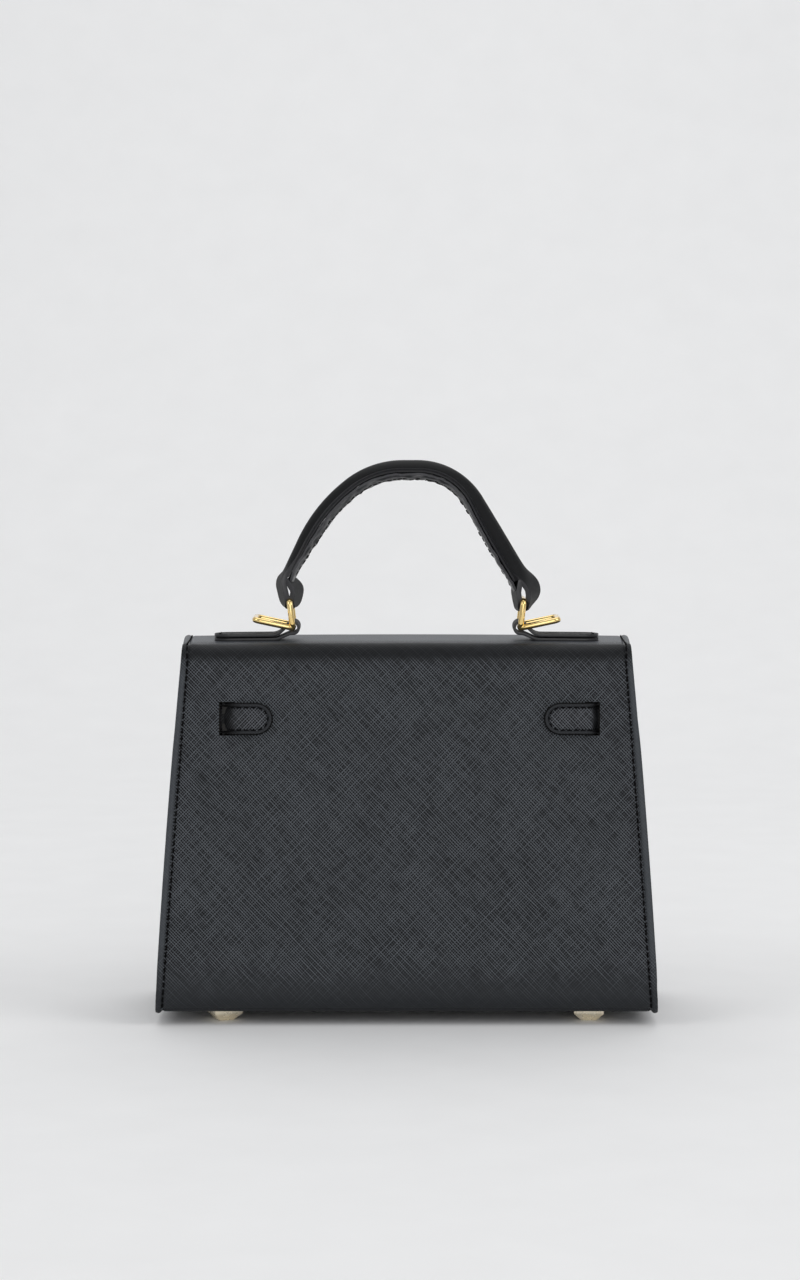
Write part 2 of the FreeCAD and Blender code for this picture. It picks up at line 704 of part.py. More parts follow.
def make_magnet(label, inset, thick, out):
    """Flat disc of the magnetic catch; out tells whether it stands on the face or behind it."""
    body = new_body(label)
    sketch = new_sketch(body, "XZ_Plane")
    add_circle(sketch, ("0", "0"), "<magnet_diameter>")
    pad(body, sketch, thick, symmetric=False, reverse=not out)
    return lean_on(body, 1, f"({TOP} - <magnet_drop>)", inset)


# Folded strips, wire rings and handle: shapes that follow a bent path in the front view
def rounded_path(points, shares):
    """Stations (point, inward normal, is the middle of an arc) of a path with rounded corners.

    Each corner's arc starts and ends at a share of the shorter of its two sides.
    """
    def inward(direction):
        return Vector(direction.z, 0, -direction.x)

    stations = [(points[0], inward((points[1] - points[0]).normalize()), False)]
    for before, corner, after, share in zip(points, points[1:], points[2:], shares):
        reach = share * min(before.distanceToPoint(corner), after.distanceToPoint(corner))
        back = (before - corner).normalize()
        ahead = (after - corner).normalize()
        half = back.getAngle(ahead) / 2
        radius = reach * math.tan(half)
        towards = (back + ahead).normalize()
        middle = corner + towards * (radius / math.sin(half) - radius)
        turn = 1 if inward(back * -1).dot(towards) > 0 else -1
        stations += [(corner + back * reach, inward(back * -1), False), (middle, towards * turn, True),
                     (corner + ahead * reach, inward(ahead), False)]
    stations.append((points[-1], inward((points[-1] - points[-2]).normalize()), False))
    return stations


def path_edges(stations, depth):
    """Edges of the path moved inwards by a depth."""
    moved = [(point + normal * depth, arc) for point, normal, arc in stations]
    edges = []
    i = 0
    while i < len(moved) - 1:
        if moved[i + 1][1]:
            edges.append(Part.Arc(moved[i][0], moved[i + 1][0], moved[i + 2][0]).toShape())
            i += 2
        else:
            edges.append(Part.makeLine(moved[i][0], moved[i + 1][0]))
            i += 1
    return edges


def strip(stations, outer, inner, width):
    """Solid between two depths inside a bent path, centred on the plane Y = 0."""
    far, close = path_edges(stations, outer), path_edges(stations, inner)
    ends = [Part.makeLine(stations[i][0] + stations[i][1] * outer, stations[i][0] + stations[i][1] * inner)
            for i in (0, -1)]
    outline = Part.Wire(Part.__sortEdges__(far + close + ends))
    return Part.Face(outline).extrude(Vector(0, width, 0)).translated(Vector(0, -width / 2, 0))


def across_middle(points):
    """The same points on the other side of the bag, in the other order."""
    return [Vector(-p.x, p.y, p.z) for p in reversed(points)]


FLAP_TOP = value(TOP)
RING_X = value("<ring_reach>")
CORNER_Z = FLAP_TOP + value("<ring_height>")
BAR_X = RING_X + value("<ring_rise> * sin(<ring_lean> * 1 deg)")
BAR_Z = CORNER_Z + value("<ring_rise> * cos(<ring_lean> * 1 deg)")
WIRE = value("<ring_wire>") / 2


TAB_SHARES = (0.4, 0.2, 0.72, 0.72, 0.2, 0.5)


def make_tab(label, side):
    """Leather strip folded round the ring's corner bar, both layers lying on the flap."""
    thick = value("<tab_leather>")
    end = -RING_X - value("<tab_length>")
    hug = WIRE + value("<loop_room>") + thick
    meet = -RING_X - value("<tab_flare>")
    turn = -RING_X - hug / 3
    inside = -RING_X + hug
    top = FLAP_TOP + 2 * thick + value("<running_fit>")
    above, below = CORNER_Z + hug, CORNER_Z - hug
    bends = [(end, top), (meet, top), (turn, above), (inside, above),
             (inside, below), (turn, below), (meet, FLAP_TOP), (end, FLAP_TOP)]
    path = rounded_path([Vector(x, 0, z) for x, z in bends], TAB_SHARES)
    shape = strip(path, 0, thick, value("<strap_width>"))
    tips = [edge for edge in shape.Edges
            if runs_along(edge, Z_AXIS) and near(edge.Vertexes[0].Point, (end, None, None))]
    shape = shape.makeFillet(value("<strap_width>") * ROUND_TIP, tips)
    if side > 0:
        shape = shape.mirror(Vector(0, 0, 0), X_AXIS)
    return feature_of(label, shape)


def wire_arm(length, angle):
    """U of round wire that starts and ends on the corner bar; angle is from +X towards +Z."""
    half = value("<ring_inside>") / 2 + WIRE
    # Each bend is one straight cut that touches the bend's arc
    cut = value("<ring_corner>") * (2 - math.sqrt(2))
    corners = [(0, -half), (length - cut, -half), (length, -half + cut), (length, half - cut),
               (length - cut, half), (0, half)]
    path = Part.makePolygon([Vector(u, v, 0) for u, v in corners])
    section = Part.Wire(Part.makeCircle(WIRE, Vector(0, -half, 0), X_AXIS))
    mitred = 1
    arm = path.makePipeShell([section], True, True, mitred)
    arm.rotate(Vector(0, 0, 0), Y_AXIS, -angle)
    return arm


def make_ring(label, side):
    """L-shaped double ring: an upright loop for the handle and a raised side loop for a strap."""
    half = value("<ring_inside>") / 2 + WIRE
    bar = Part.makeCylinder(WIRE, 2 * (half + WIRE), Vector(0, -half - WIRE, 0), Y_AXIS)
    upward, outward = 90 + value("<ring_lean>"), 180 - value("<ring_lift>")
    arms = [wire_arm(value("<ring_rise>"), upward), wire_arm(value("<ring_side>"), outward)]
    shape = bar.multiFuse(arms).removeSplitter()
    if side > 0:
        shape = shape.mirror(Vector(0, 0, 0), X_AXIS)
    ring = feature_of(label, shape)
    ring.Placement.Base = Vector(side * RING_X, 0, CORNER_Z)
    return ring


def above_flap(x, rise):
    return Vector(value(x), 0, FLAP_TOP + value(rise))


COVER = value("<cover_leather>")
CORE = value("<grip_core>")
HUG = WIRE + value("<loop_room>") + COVER
FOOT_SPREAD = "(<ring_reach> + <grip_flare>)"
ARCH = [above_flap(f"-{FOOT_SPREAD}", "<grip_foot>"), above_flap("-<shoulder_reach>", "<shoulder_rise>"),
        above_flap("-<crown_left>", "<grip_rise>"), above_flap("<crown_right>", "<grip_rise>"),
        above_flap(FOOT_SPREAD, "<grip_foot>")]
ARCH_SHARES = (0.48, 0.48, 0.48)
LOOP_SHARES = (0.33, 0.4, 0.5)


def make_cover():
    """Outer strip of the handle: it runs round both rings' upper bars and a short way up inside."""
    slack = value("<loop_slack>")
    low = BAR_Z - HUG
    left = [Vector(-BAR_X + HUG - slack, 0, BAR_Z + value("<loop_tail>")),
            Vector(-BAR_X + HUG + slack, 0, low), Vector(-BAR_X - HUG - slack, 0, low)]
    points = left + ARCH + across_middle(left)
    shares = LOOP_SHARES + ARCH_SHARES + LOOP_SHARES[::-1]
    shape = strip(rounded_path(points, shares), 0, COVER, value("<strap_width>"))
    return feature_of("handle_cover", shape)


def make_arch_layer(label, start, outer, inner):
    """Layer under the outer strip; both ends stop short of the handle's feet."""
    stations = rounded_path(ARCH, ARCH_SHARES)
    for end, beside in ((0, 1), (-1, -2)):
        foot, normal, arc = stations[end]
        along = (stations[beside][0] - foot).normalize()
        stations[end] = (foot + along * value(start), normal, arc)
    return feature_of(label, strip(stations, outer, inner, value("<strap_width>")))


cavity = make_cavity()
belt_length = f"({SLOT_X} - <belt_gap> / 2)"
PARTS = [
    rear_panel, make_front_panel(), make_base_panel(),
    make_gusset("gusset_left", "-", cavity), make_gusset("gusset_right", "", cavity),
    make_rear_board(), leaning_board("front_board", "", f"({GUSSET_TOP} - <board>)"), make_base_board(),
    make_lining(cavity), make_pocket(),
    make_foot("foot_rear_left", *FEET[0]), make_foot("foot_rear_right", *FEET[1]),
    make_foot("foot_front_left", *FEET[2]), make_foot("foot_front_right", *FEET[3]), make_washers(),
    make_strap("strap_end_left", -1, "-", "<strap_length>", "<strap_tail>"),
    make_strap("strap_end_right", -1, "", "<strap_length>", "<strap_tail>"),
    flap, make_flap_lining(),
    make_strap("belt_right", 1, "-", belt_length, None), make_strap("belt_left", 1, "", belt_length, None),
    make_lock_plate(), make_back_plate(), make_lock_bar(),
    make_magnet("magnet_front", "0", "<magnet_front_thick>", True),
    make_magnet("magnet_flap", "-<flap_gap>", "<magnet_flap_thick>", False),
    make_tab("handle_tab_left", -1), make_tab("handle_tab_right", 1),
    make_ring("ring_left", -1), make_ring("ring_right", 1),
    make_cover(), make_arch_layer("handle_core", "<core_start>", COVER, COVER + CORE),
    make_arch_layer("handle_underside", "<underside_start>", COVER + CORE, 2 * COVER + CORE),
]

doc.recompute()
for item in doc.Objects:
    if "Invalid" in item.State or "Error" in item.State:
        raise RuntimeError(f"{item.Label} did not build")
os.makedirs("parts", exist_ok=True)
for part in PARTS:
    if part.Shape.isNull() or not part.Shape.isValid() or not part.Shape.Solids:
        raise RuntimeError(f"{part.Label} has no valid solid")
    part.Shape.exportStep(f"parts/{part.Label}.step")
    box = part.Shape.BoundBox
    print(f"{part.Label}: {len(part.Shape.Solids)} solid, {part.Shape.Volume:.0f} mm3, "
          f"x {box.XMin:.1f} {box.XMax:.1f} y {box.YMin:.1f} {box.YMax:.1f} z {box.ZMin:.1f} {box.ZMax:.1f}")
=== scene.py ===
# %% [markdown]
# # A top handle bag in embossed leather
# One hide makes the back, the top and the flap of this bag. Two gussets fold in at the sides, four metal feet
# carry it, and an arched handle hangs on two gilt rings. The frame holds the solids of the construction, and
# this lesson dresses them: each leather piece is cut flat, laid over its solid, and sewn.

# %% Load the frame
import bpy
import math
from mathutils import Matrix, Vector, noise


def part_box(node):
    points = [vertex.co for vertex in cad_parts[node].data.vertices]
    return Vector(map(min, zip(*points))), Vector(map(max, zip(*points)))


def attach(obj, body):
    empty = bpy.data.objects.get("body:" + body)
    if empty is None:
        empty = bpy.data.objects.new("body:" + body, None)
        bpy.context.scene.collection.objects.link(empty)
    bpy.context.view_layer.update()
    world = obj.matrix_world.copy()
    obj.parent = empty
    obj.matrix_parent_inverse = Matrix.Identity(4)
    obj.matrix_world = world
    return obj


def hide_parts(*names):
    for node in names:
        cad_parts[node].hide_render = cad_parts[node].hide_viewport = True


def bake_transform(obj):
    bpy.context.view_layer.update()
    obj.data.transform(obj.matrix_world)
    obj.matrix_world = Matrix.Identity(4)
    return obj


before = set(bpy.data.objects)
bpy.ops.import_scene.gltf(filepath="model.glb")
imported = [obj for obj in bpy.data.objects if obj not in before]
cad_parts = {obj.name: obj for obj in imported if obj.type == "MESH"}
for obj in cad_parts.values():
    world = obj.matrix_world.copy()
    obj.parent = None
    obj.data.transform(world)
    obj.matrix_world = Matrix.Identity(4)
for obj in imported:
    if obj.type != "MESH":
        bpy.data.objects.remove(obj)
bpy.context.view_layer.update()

MM = 0.001
print("nodes in the frame:", len(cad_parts))

# %% [markdown]
# ## Camera
# The bag was photographed from behind, from a little above its top and from far away, so its sides stay
# almost straight. The lens is worked out from the picture's height of 1280 pixels. The camera tilts down and
# needs no shift, which keeps it useful from every other side too.

# %% Camera
PICTURE_HEIGHT = 1280
FOCAL_PIXELS = 3254
SENSOR = 36.0
CAMERA_PLACE = Vector((-3.3 * MM, -1640 * MM, 330 * MM))
CAMERA_TILT = math.radians(4.93)

bpy.ops.object.select_all(action="DESELECT")
bpy.ops.object.camera_add(location=CAMERA_PLACE, rotation=(math.radians(90) - CAMERA_TILT, 0, 0))
camera = bpy.context.object
camera.data.sensor_width = SENSOR
camera.data.lens = SENSOR * FOCAL_PIXELS / PICTURE_HEIGHT
bpy.context.scene.camera = camera
print("lens", round(camera.data.lens, 1), "mm")

# %% [markdown]
# ## Small tools for modelling
# An operator works on whatever is selected, so each step first selects its own piece and nothing else. A new
# primitive is selected all over, so where only some of its faces or edges are wanted, they are chosen anew.
# Modifiers are applied at once, so that the finished mesh is plain and every later step sees it.

# %% Selecting, modifying, shading
SMOOTH_ANGLE = 40


def select_only(piece):
    bpy.ops.object.select_all(action="DESELECT")
    piece.select_set(True)
    bpy.context.view_layer.objects.active = piece


def add_piece(operator, **settings):
    """The object that an operator adds, with nothing else selected."""
    bpy.ops.object.select_all(action="DESELECT")
    operator(**settings)
    return bpy.context.object


def modify(piece, kind, **settings):
    """Add a modifier with its settings and apply it."""
    modifier = piece.modifiers.new(kind.title(), kind)
    for name, value in settings.items():
        setattr(modifier, name, value)
    select_only(piece)
    bpy.ops.object.modifier_apply(modifier=modifier.name)


def in_edit_mode(piece, *steps):
    """Run operators on the whole mesh of a piece."""
    select_only(piece)
    bpy.ops.object.mode_set(mode="EDIT")
    bpy.ops.mesh.select_all(action="SELECT")
    for step in steps:
        step()
    bpy.ops.object.mode_set(mode="OBJECT")


def on_chosen(piece, kind, chosen, *steps):
    """Run operators on those polygons or edges of a piece that are chosen."""
    in_edit_mode(piece, lambda: bpy.ops.mesh.select_all(action="DESELECT"))
    for element in getattr(piece.data, kind):
        element.select = chosen(element)
    bpy.ops.object.mode_set(mode="EDIT")
    for step in steps:
        step()
    bpy.ops.object.mode_set(mode="OBJECT")


def smooth(piece, angle=SMOOTH_ANGLE):
    select_only(piece)
    bpy.ops.object.shade_smooth_by_angle(angle=math.radians(angle))


def settle(piece):
    """Move a piece's place into its mesh, so that the object sits at the origin."""
    select_only(piece)
    bpy.ops.object.transform_apply(location=True, rotation=True, scale=True)


print("modelling tools are ready")

# %% [markdown]
# ## Small tools for materials
# Colours are picked as they look on a screen, in sRGB, and the shader needs them in linear light. One
# function adds a node with its settings and its links, which keeps each material short enough to read as a
# recipe.

# %% Colours and nodes
def colour(code):
    """Linear RGBA of an sRGB hex code."""
    parts = [int(code[i:i + 2], 16) / 255 for i in (1, 3, 5)]
    return (*[c / 12.92 if c <= 0.04045 else ((c + 0.055) / 1.055) ** 2.4 for c in parts], 1)


def add_node(tree, kind, settings, inputs):
    """Node with its settings; an input is a number, a colour or the output socket it is linked to."""
    node = tree.nodes.new("ShaderNode" + kind)
    for name, value in settings.items():
        setattr(node, name, value)
    for name, value in inputs.items():
        if isinstance(value, bpy.types.NodeSocket):
            tree.links.new(value, node.inputs[name])
        else:
            node.inputs[name].default_value = value
    return node


def new_material(name, **sockets):
    """Principled material; numbers that are the same all over go straight to the shader's sockets."""
    material = bpy.data.materials.new(name)
    material.use_nodes = True
    shader = material.node_tree.nodes["Principled BSDF"]
    for socket, value in sockets.items():
        shader.inputs[socket.replace("_", " ")].default_value = value
    return material, material.node_tree, shader


# A band texture repeats every 2 pi / 20 of its scaled coordinate
BAND = 2 * math.pi / 20
print("black in linear light:", round(colour("#232428")[0], 4))

# %% [markdown]
# ## Embossed leather
# The hide is a coated leather, pressed hot under a roller that leaves fine diagonal scratches in two
# directions. In some patches one direction is stronger, in others the other, and the ridges catch the light:
# their lighter colour is partly a painted highlight, and the near black of the hollows partly painted shade.
# Each direction is a band texture on the flat cut, so the grain runs round every fold with the leather, and a
# long, thin noise breaks its lines into strokes. A wider noise favours one direction in each patch, and what
# one loses the other gains, so no patch turns dark; a wider one still presses some places deeper and paints
# the slow light and shade of a wavy panel into the colour. Where leather is stretched over a roll or a sewn
# edge, the press marks fade: one attribute of the mesh says where, and another how bright the smooth leather
# is there, painted highlight and painted shade included.

# %% Embossed leather
# The real lines are a little closer; they are drawn this wide so that a picture can hold them
GRAIN_PITCH = 1.15 * MM
STROKE = 13 * MM
PATCH = 18 * MM
# Width of the slow waves of painted light and shade, as on a wavy panel; they also vary how deep the grain is
# pressed
PAINTED_WAVE_SIZE = 45 * MM
GRAIN_ANGLE = 44
# Weight of each direction at the two ends of the noise that makes the patches
GRAIN_WEIGHTS = ((GRAIN_ANGLE, 0.85, 1.25), (-GRAIN_ANGLE, 0.85, 0.45))
LINE_WAVER = 1.8
LINE_THINNING = 3.6
# A noise seldom leaves its middle, so a pattern reads only that range of it
NOISE_RANGE = {"From Min": 0.35, "From Max": 0.65}
STROKE_WEIGHTS = {"To Min": 0.4, "To Max": 1.55}
PAINTED_WAVE_RANGE = {"From Min": 0.3, "From Max": 0.7, "To Min": 0.82, "To Max": 1.18}
# Raised grain is polished by wear, and the hollows stay duller
LEATHER_ROUGHNESS = {"To Min": 0.55, "To Max": 0.38}
GRAIN_HEIGHT = 0.15 * MM


def embossed_leather(name, deep, raised, relief):
    material, tree, shader = new_material(name, IOR=1.5, Specular_IOR_Level=0.15)
    flat = add_node(tree, "UVMap", {"uv_map": "flat"}, {})
    patches = add_node(tree, "TexNoise", {}, {
        "Vector": flat.outputs["UV"], "Scale": 1 / PATCH, "Detail": 1.0})
    # Slow noise: painted light and shade of a wavy panel in the colour, and a deeper press in the bump
    painted_waves = add_node(tree, "TexNoise", {}, {
        "Vector": flat.outputs["UV"], "Scale": 1 / PAINTED_WAVE_SIZE, "Detail": 1.0})
    depth = add_node(tree, "MapRange", {}, {"Value": painted_waves.outputs["Fac"], **PAINTED_WAVE_RANGE})
    ridges = []
    for turn, weak, strong in GRAIN_WEIGHTS:
        turned = add_node(tree, "Mapping", {"vector_type": "TEXTURE"}, {
            "Vector": flat.outputs["UV"], "Rotation": (0, 0, math.radians(turn)),
            "Scale": (GRAIN_PITCH, STROKE, 1)})
        lines = add_node(tree, "TexWave", {}, {
            "Vector": turned.outputs["Vector"], "Scale": BAND, "Distortion": LINE_WAVER, "Detail Scale": 1.5})
        thin = add_node(tree, "Math", {"operation": "POWER"}, {0: lines.outputs["Fac"], 1: LINE_THINNING})
        strokes = add_node(tree, "TexNoise", {}, {
            "Vector": turned.outputs["Vector"], "Scale": 1.0, "Detail": 1.0})
        amount = add_node(tree, "MapRange", {}, {
            "Value": strokes.outputs["Fac"], **NOISE_RANGE, **STROKE_WEIGHTS})
        share = add_node(tree, "MapRange", {}, {
            "Value": patches.outputs["Fac"], **NOISE_RANGE, "To Min": weak, "To Max": strong})
        stroke = add_node(tree, "Math", {"operation": "MULTIPLY"}, {
            0: thin.outputs["Value"], 1: amount.outputs["Result"]})
        ridges.append(add_node(tree, "Math", {"operation": "MULTIPLY"}, {
            0: stroke.outputs["Value"], 1: share.outputs["Result"]}))
    pressed = add_node(tree, "Math", {"operation": "ADD"}, {
        0: ridges[0].outputs["Value"], 1: ridges[1].outputs["Value"]})
    uneven = add_node(tree, "Math", {"operation": "MULTIPLY"}, {
        0: pressed.outputs["Value"], 1: depth.outputs["Result"]})
    stretched = add_node(tree, "Attribute", {"attribute_name": "stretch"}, {})
    # Brightness of the smooth leather, which also holds painted highlight and painted shade
    tone_and_painted_light = add_node(tree, "Attribute", {"attribute_name": "tone_and_painted_light"}, {})
    grain = add_node(tree, "Mix", {"data_type": "FLOAT"}, {
        "Factor": stretched.outputs["Fac"], "A": uneven.outputs["Value"], "B": tone_and_painted_light.outputs["Fac"]})
    # The raised colour is partly a painted highlight on the ridges, and the deep one partly painted shade in
    # the hollows
    tint = add_node(tree, "Mix", {"data_type": "RGBA"}, {
        "Factor": grain.outputs["Result"], 6: colour(deep), 7: colour(raised)})
    gloss = add_node(tree, "MapRange", {}, {"Value": grain.outputs["Result"], **LEATHER_ROUGHNESS})
    bump = add_node(tree, "Bump", {}, {
        "Height": grain.outputs["Result"], "Strength": relief, "Distance": GRAIN_HEIGHT})
    tree.links.new(tint.outputs[2], shader.inputs["Base Color"])
    tree.links.new(gloss.outputs["Result"], shader.inputs["Roughness"])
    tree.links.new(bump.outputs["Normal"], shader.inputs["Normal"])
    return material


# Near black with painted shade in the hollows, grey with a painted highlight on the ridges
leather = embossed_leather("embossed_leather", "#010102", "#5b5f64", 0.9)
strap_leather = embossed_leather("strap_leather", "#020203", "#616469", 0.6)
print("leather grain every", GRAIN_PITCH / MM, "mm")

# %% [markdown]
# ## Edge paint, thread, metal and cloth
# Cut leather edges are sealed with a brushed coat of black paint, smooth but never quite even. The thread is
# waxed polyester. The hardware is zinc plated in pale gold, polished, with the faint waviness of a casting.
# The lining is a dark twill, and the boards inside are black fibre board. One recipe with a single noise
# serves all but the twill, because they differ only in colour, gloss and the size of their specks.

# %% Edge paint, thread and metal
SPECK_HEIGHT = 0.1 * MM


def speckled(name, dark, light, size, rough, bump, **sockets):
    """Material with one soft noise in colour, gloss and height; size is the width of a speck."""
    material, tree, shader = new_material(name, **sockets)
    place = add_node(tree, "TexCoord", {}, {})
    specks = add_node(tree, "TexNoise", {}, {
        "Vector": place.outputs["Object"], "Scale": 1 / size, "Detail": 3.0})
    tint = add_node(tree, "Mix", {"data_type": "RGBA"}, {
        "Factor": specks.outputs["Fac"], 6: colour(dark), 7: colour(light)})
    gloss = add_node(tree, "MapRange", {}, {
        "Value": specks.outputs["Fac"], "To Min": rough[0], "To Max": rough[1]})
    height = add_node(tree, "Bump", {}, {
        "Height": specks.outputs["Fac"], "Strength": bump, "Distance": SPECK_HEIGHT})
    tree.links.new(tint.outputs[2], shader.inputs["Base Color"])
    tree.links.new(gloss.outputs["Result"], shader.inputs["Roughness"])
    tree.links.new(height.outputs["Normal"], shader.inputs["Normal"])
    return material


# Brushed paint has a soft, uneven shine
edge_paint = speckled("edge_paint", "#131315", "#1d1d20", 1.5 * MM, (0.22, 0.38), 0.15)
# The handle and its tabs are cut from plain calf, whose narrow edges are burnished; their lighter grey is
# partly a painted highlight along the edges
calf = speckled("smooth_calf", "#020203", "#161719", 1.2 * MM, (0.45, 0.62), 0.45, Specular_IOR_Level=0.14)
burnished_edge_with_painted_highlight = speckled("burnished_edge_with_painted_highlight", "#1c1c1e", "#303033", 1 * MM, (0.25, 0.4), 0.15)
# A raw cut shows the pale, dull fibres inside the leather
raw_edge = speckled("raw_leather_edge", "#2c2c2e", "#57575a", 0.8 * MM, (0.7, 0.9), 0.4)
# Waxed thread is darker than the leather and hardly shines
thread = speckled("waxed_thread", "#020203", "#0b0b0c", 0.5 * MM, (0.7, 0.85), 0.4, Specular_IOR_Level=0.1)
# Polished plating mirrors the room in slow waves
gold = speckled("gold_plated_zinc", "#ebc66e", "#fce6b0", 9 * MM, (0.07, 0.16), 0.05, Metallic=1.0)
# The feet still wear their thin protective film, which makes them pale and satin; their near white is also
# painted light, for the light they lack in the bag's shade
film_gold_with_painted_light = speckled("gold_under_film_with_painted_light", "#fbeccb", "#fff8e6", 5 * MM, (0.2, 0.35), 0.1, Metallic=0.5)
# Tumbled nickel is satin, so it shows light and dark but no mirror image
steel = speckled("nickel_steel", "#b3b2b0", "#c9c8c6", 4 * MM, (0.45, 0.6), 0.05, Metallic=1.0)
# Pressed fibres are dull and finely mottled
fibre_board = speckled("fibre_board", "#1d1c1b", "#2b2a28", 2 * MM, (0.8, 0.95), 0.5)
filler = speckled("handle_filler", "#202022", "#2c2c2f", 1 * MM, (0.7, 0.9), 0.4)
print("plain materials:", len(bpy.data.materials))

# %% Lining cloth
# The real twill is finer; its ribs are drawn this wide so that they show
TWILL_PITCH = 1.2 * MM


def twill_cloth(name, deep, raised, pitch):
    """Woven cloth with diagonal ribs, soft at the edges where its fluff catches the light."""
    material, tree, shader = new_material(name, Roughness=0.8, Sheen_Weight=0.15, Sheen_Roughness=0.5)
    place = add_node(tree, "TexCoord", {}, {})
    ribs = add_node(tree, "TexWave", {"bands_direction": "DIAGONAL"}, {
        "Vector": place.outputs["Object"], "Scale": BAND / pitch, "Distortion": 0.8, "Detail Scale": 3.0})
    tint = add_node(tree, "Mix", {"data_type": "RGBA"}, {
        "Factor": ribs.outputs["Fac"], 6: colour(deep), 7: colour(raised)})
    bump = add_node(tree, "Bump", {}, {
        "Height": ribs.outputs["Fac"], "Strength": 0.4, "Distance": SPECK_HEIGHT})
    tree.links.new(tint.outputs[2], shader.inputs["Base Color"])
    tree.links.new(bump.outputs["Normal"], shader.inputs["Normal"])
    return material


lining_cloth = twill_cloth("lining_twill", "#2a2725", "#423e3a", TWILL_PITCH)
print("twill ribs every", TWILL_PITCH / MM, "mm")

# %% [markdown]
# ## Bent lines
# A leather worker marks a pattern in straight runs and rounds the corners. The same idea gives every fold of
# the bag: a line of corners with a radius at each one. Walking along it by a distance gives a place and a
# heading, so a flat cut can be laid on the fold without stretching.

# %% Bent lines
def left_of(heading):
    return Vector((-heading.y, heading.x))


def bend_line(corners, radii):
    """Runs (start, heading, length, curvature) of a line with rounded corners."""
    corners = [Vector(corner) for corner in corners]
    runs = []
    start = corners[0]
    for before, corner, after, radius in zip(corners, corners[1:], corners[2:], radii):
        heading = (corner - before).normalized()
        ahead = (after - corner).normalized()
        turn = math.atan2(heading.cross(ahead), heading.dot(ahead))
        reach = radius * math.tan(abs(turn) / 2)
        arc = corner - heading * reach
        runs.append((start, heading, (arc - start).length, 0.0))
        runs.append((arc, heading, radius * abs(turn), math.copysign(1 / radius, turn)))
        start = corner + ahead * reach
    runs.append((start, (corners[-1] - start).normalized(), (corners[-1] - start).length, 0.0))
    return runs


def walk(runs, distance):
    """Place and heading at a distance along the runs."""
    for start, heading, length, curve in runs:
        if distance <= length or (start, heading, length, curve) == runs[-1]:
            break
        distance -= length
    if not curve:
        return start + heading * distance, heading
    turn = curve * distance
    side = left_of(heading)
    place = start + heading * (math.sin(turn) / curve) + side * ((1 - math.cos(turn)) / curve)
    return place, heading * math.cos(turn) + side * math.sin(turn)


def length_of(runs):
    return sum(run[2] for run in runs)


def on_line(runs, x, s, rise):
    """Place at x across the bag and s along a line in the YZ plane, lifted off to the left of the line."""
    (y, z), heading = walk(runs, s)
    out = left_of(heading) * rise
    return Vector((x, y + out.x, z + out.y))


quarter_turn = bend_line([(0, 0), (20, 0), (20, 20)], [10])
print("a quarter turn of 10 mm is", round(length_of(quarter_turn) - 20, 1), "mm long")

# %% Rows and soft steps
def marks(runs, straight, curved):
    """Distances along the runs at which a sheet has its rows: wide on straights, close on bends."""
    rows = [0.0]
    for start, heading, length, curve in runs:
        count = max(1, math.ceil(length / (curved if curve else straight)))
        rows += [rows[-1] + length * i / count for i in range(1, count + 1)]
    return rows


def steps(start, end, count):
    return [start + (end - start) * i / count for i in range(count + 1)]


def round_rows(reach, first, step):
    """Distances from a rounded end to its rows, which lie at even angles of the quarter round."""
    return [reach * (1 - math.cos(math.radians(angle))) for angle in range(first, 91, step)]


def clamp(share):
    return min(max(share, 0), 1)


def ease(low, high, value):
    """0 below low, 1 above high, smooth between."""
    share = clamp((value - low) / (high - low))
    return share * share * (3 - 2 * share)


def bell(distance, width):
    """1 at no distance, fading out to both sides within about two widths."""
    return math.exp(-(distance / width) ** 2)


print("a soft step is half way up at", ease(0, 1, 0.5))

# %% [markdown]
# ## Laying and sewing leather
# A piece starts as a flat grid whose columns and rows sit where the shape needs them. Its points are laid on
# a surface, the flat places are kept as a UV map for the grain, and Solidify and Bevel turn the sheet into
# leather with a soft, painted edge. A stitch is modelled once and copied along a seam.

# %% Laying a sheet
SHARP = math.radians(50)
SOFT_EDGE = 0.35 * MM


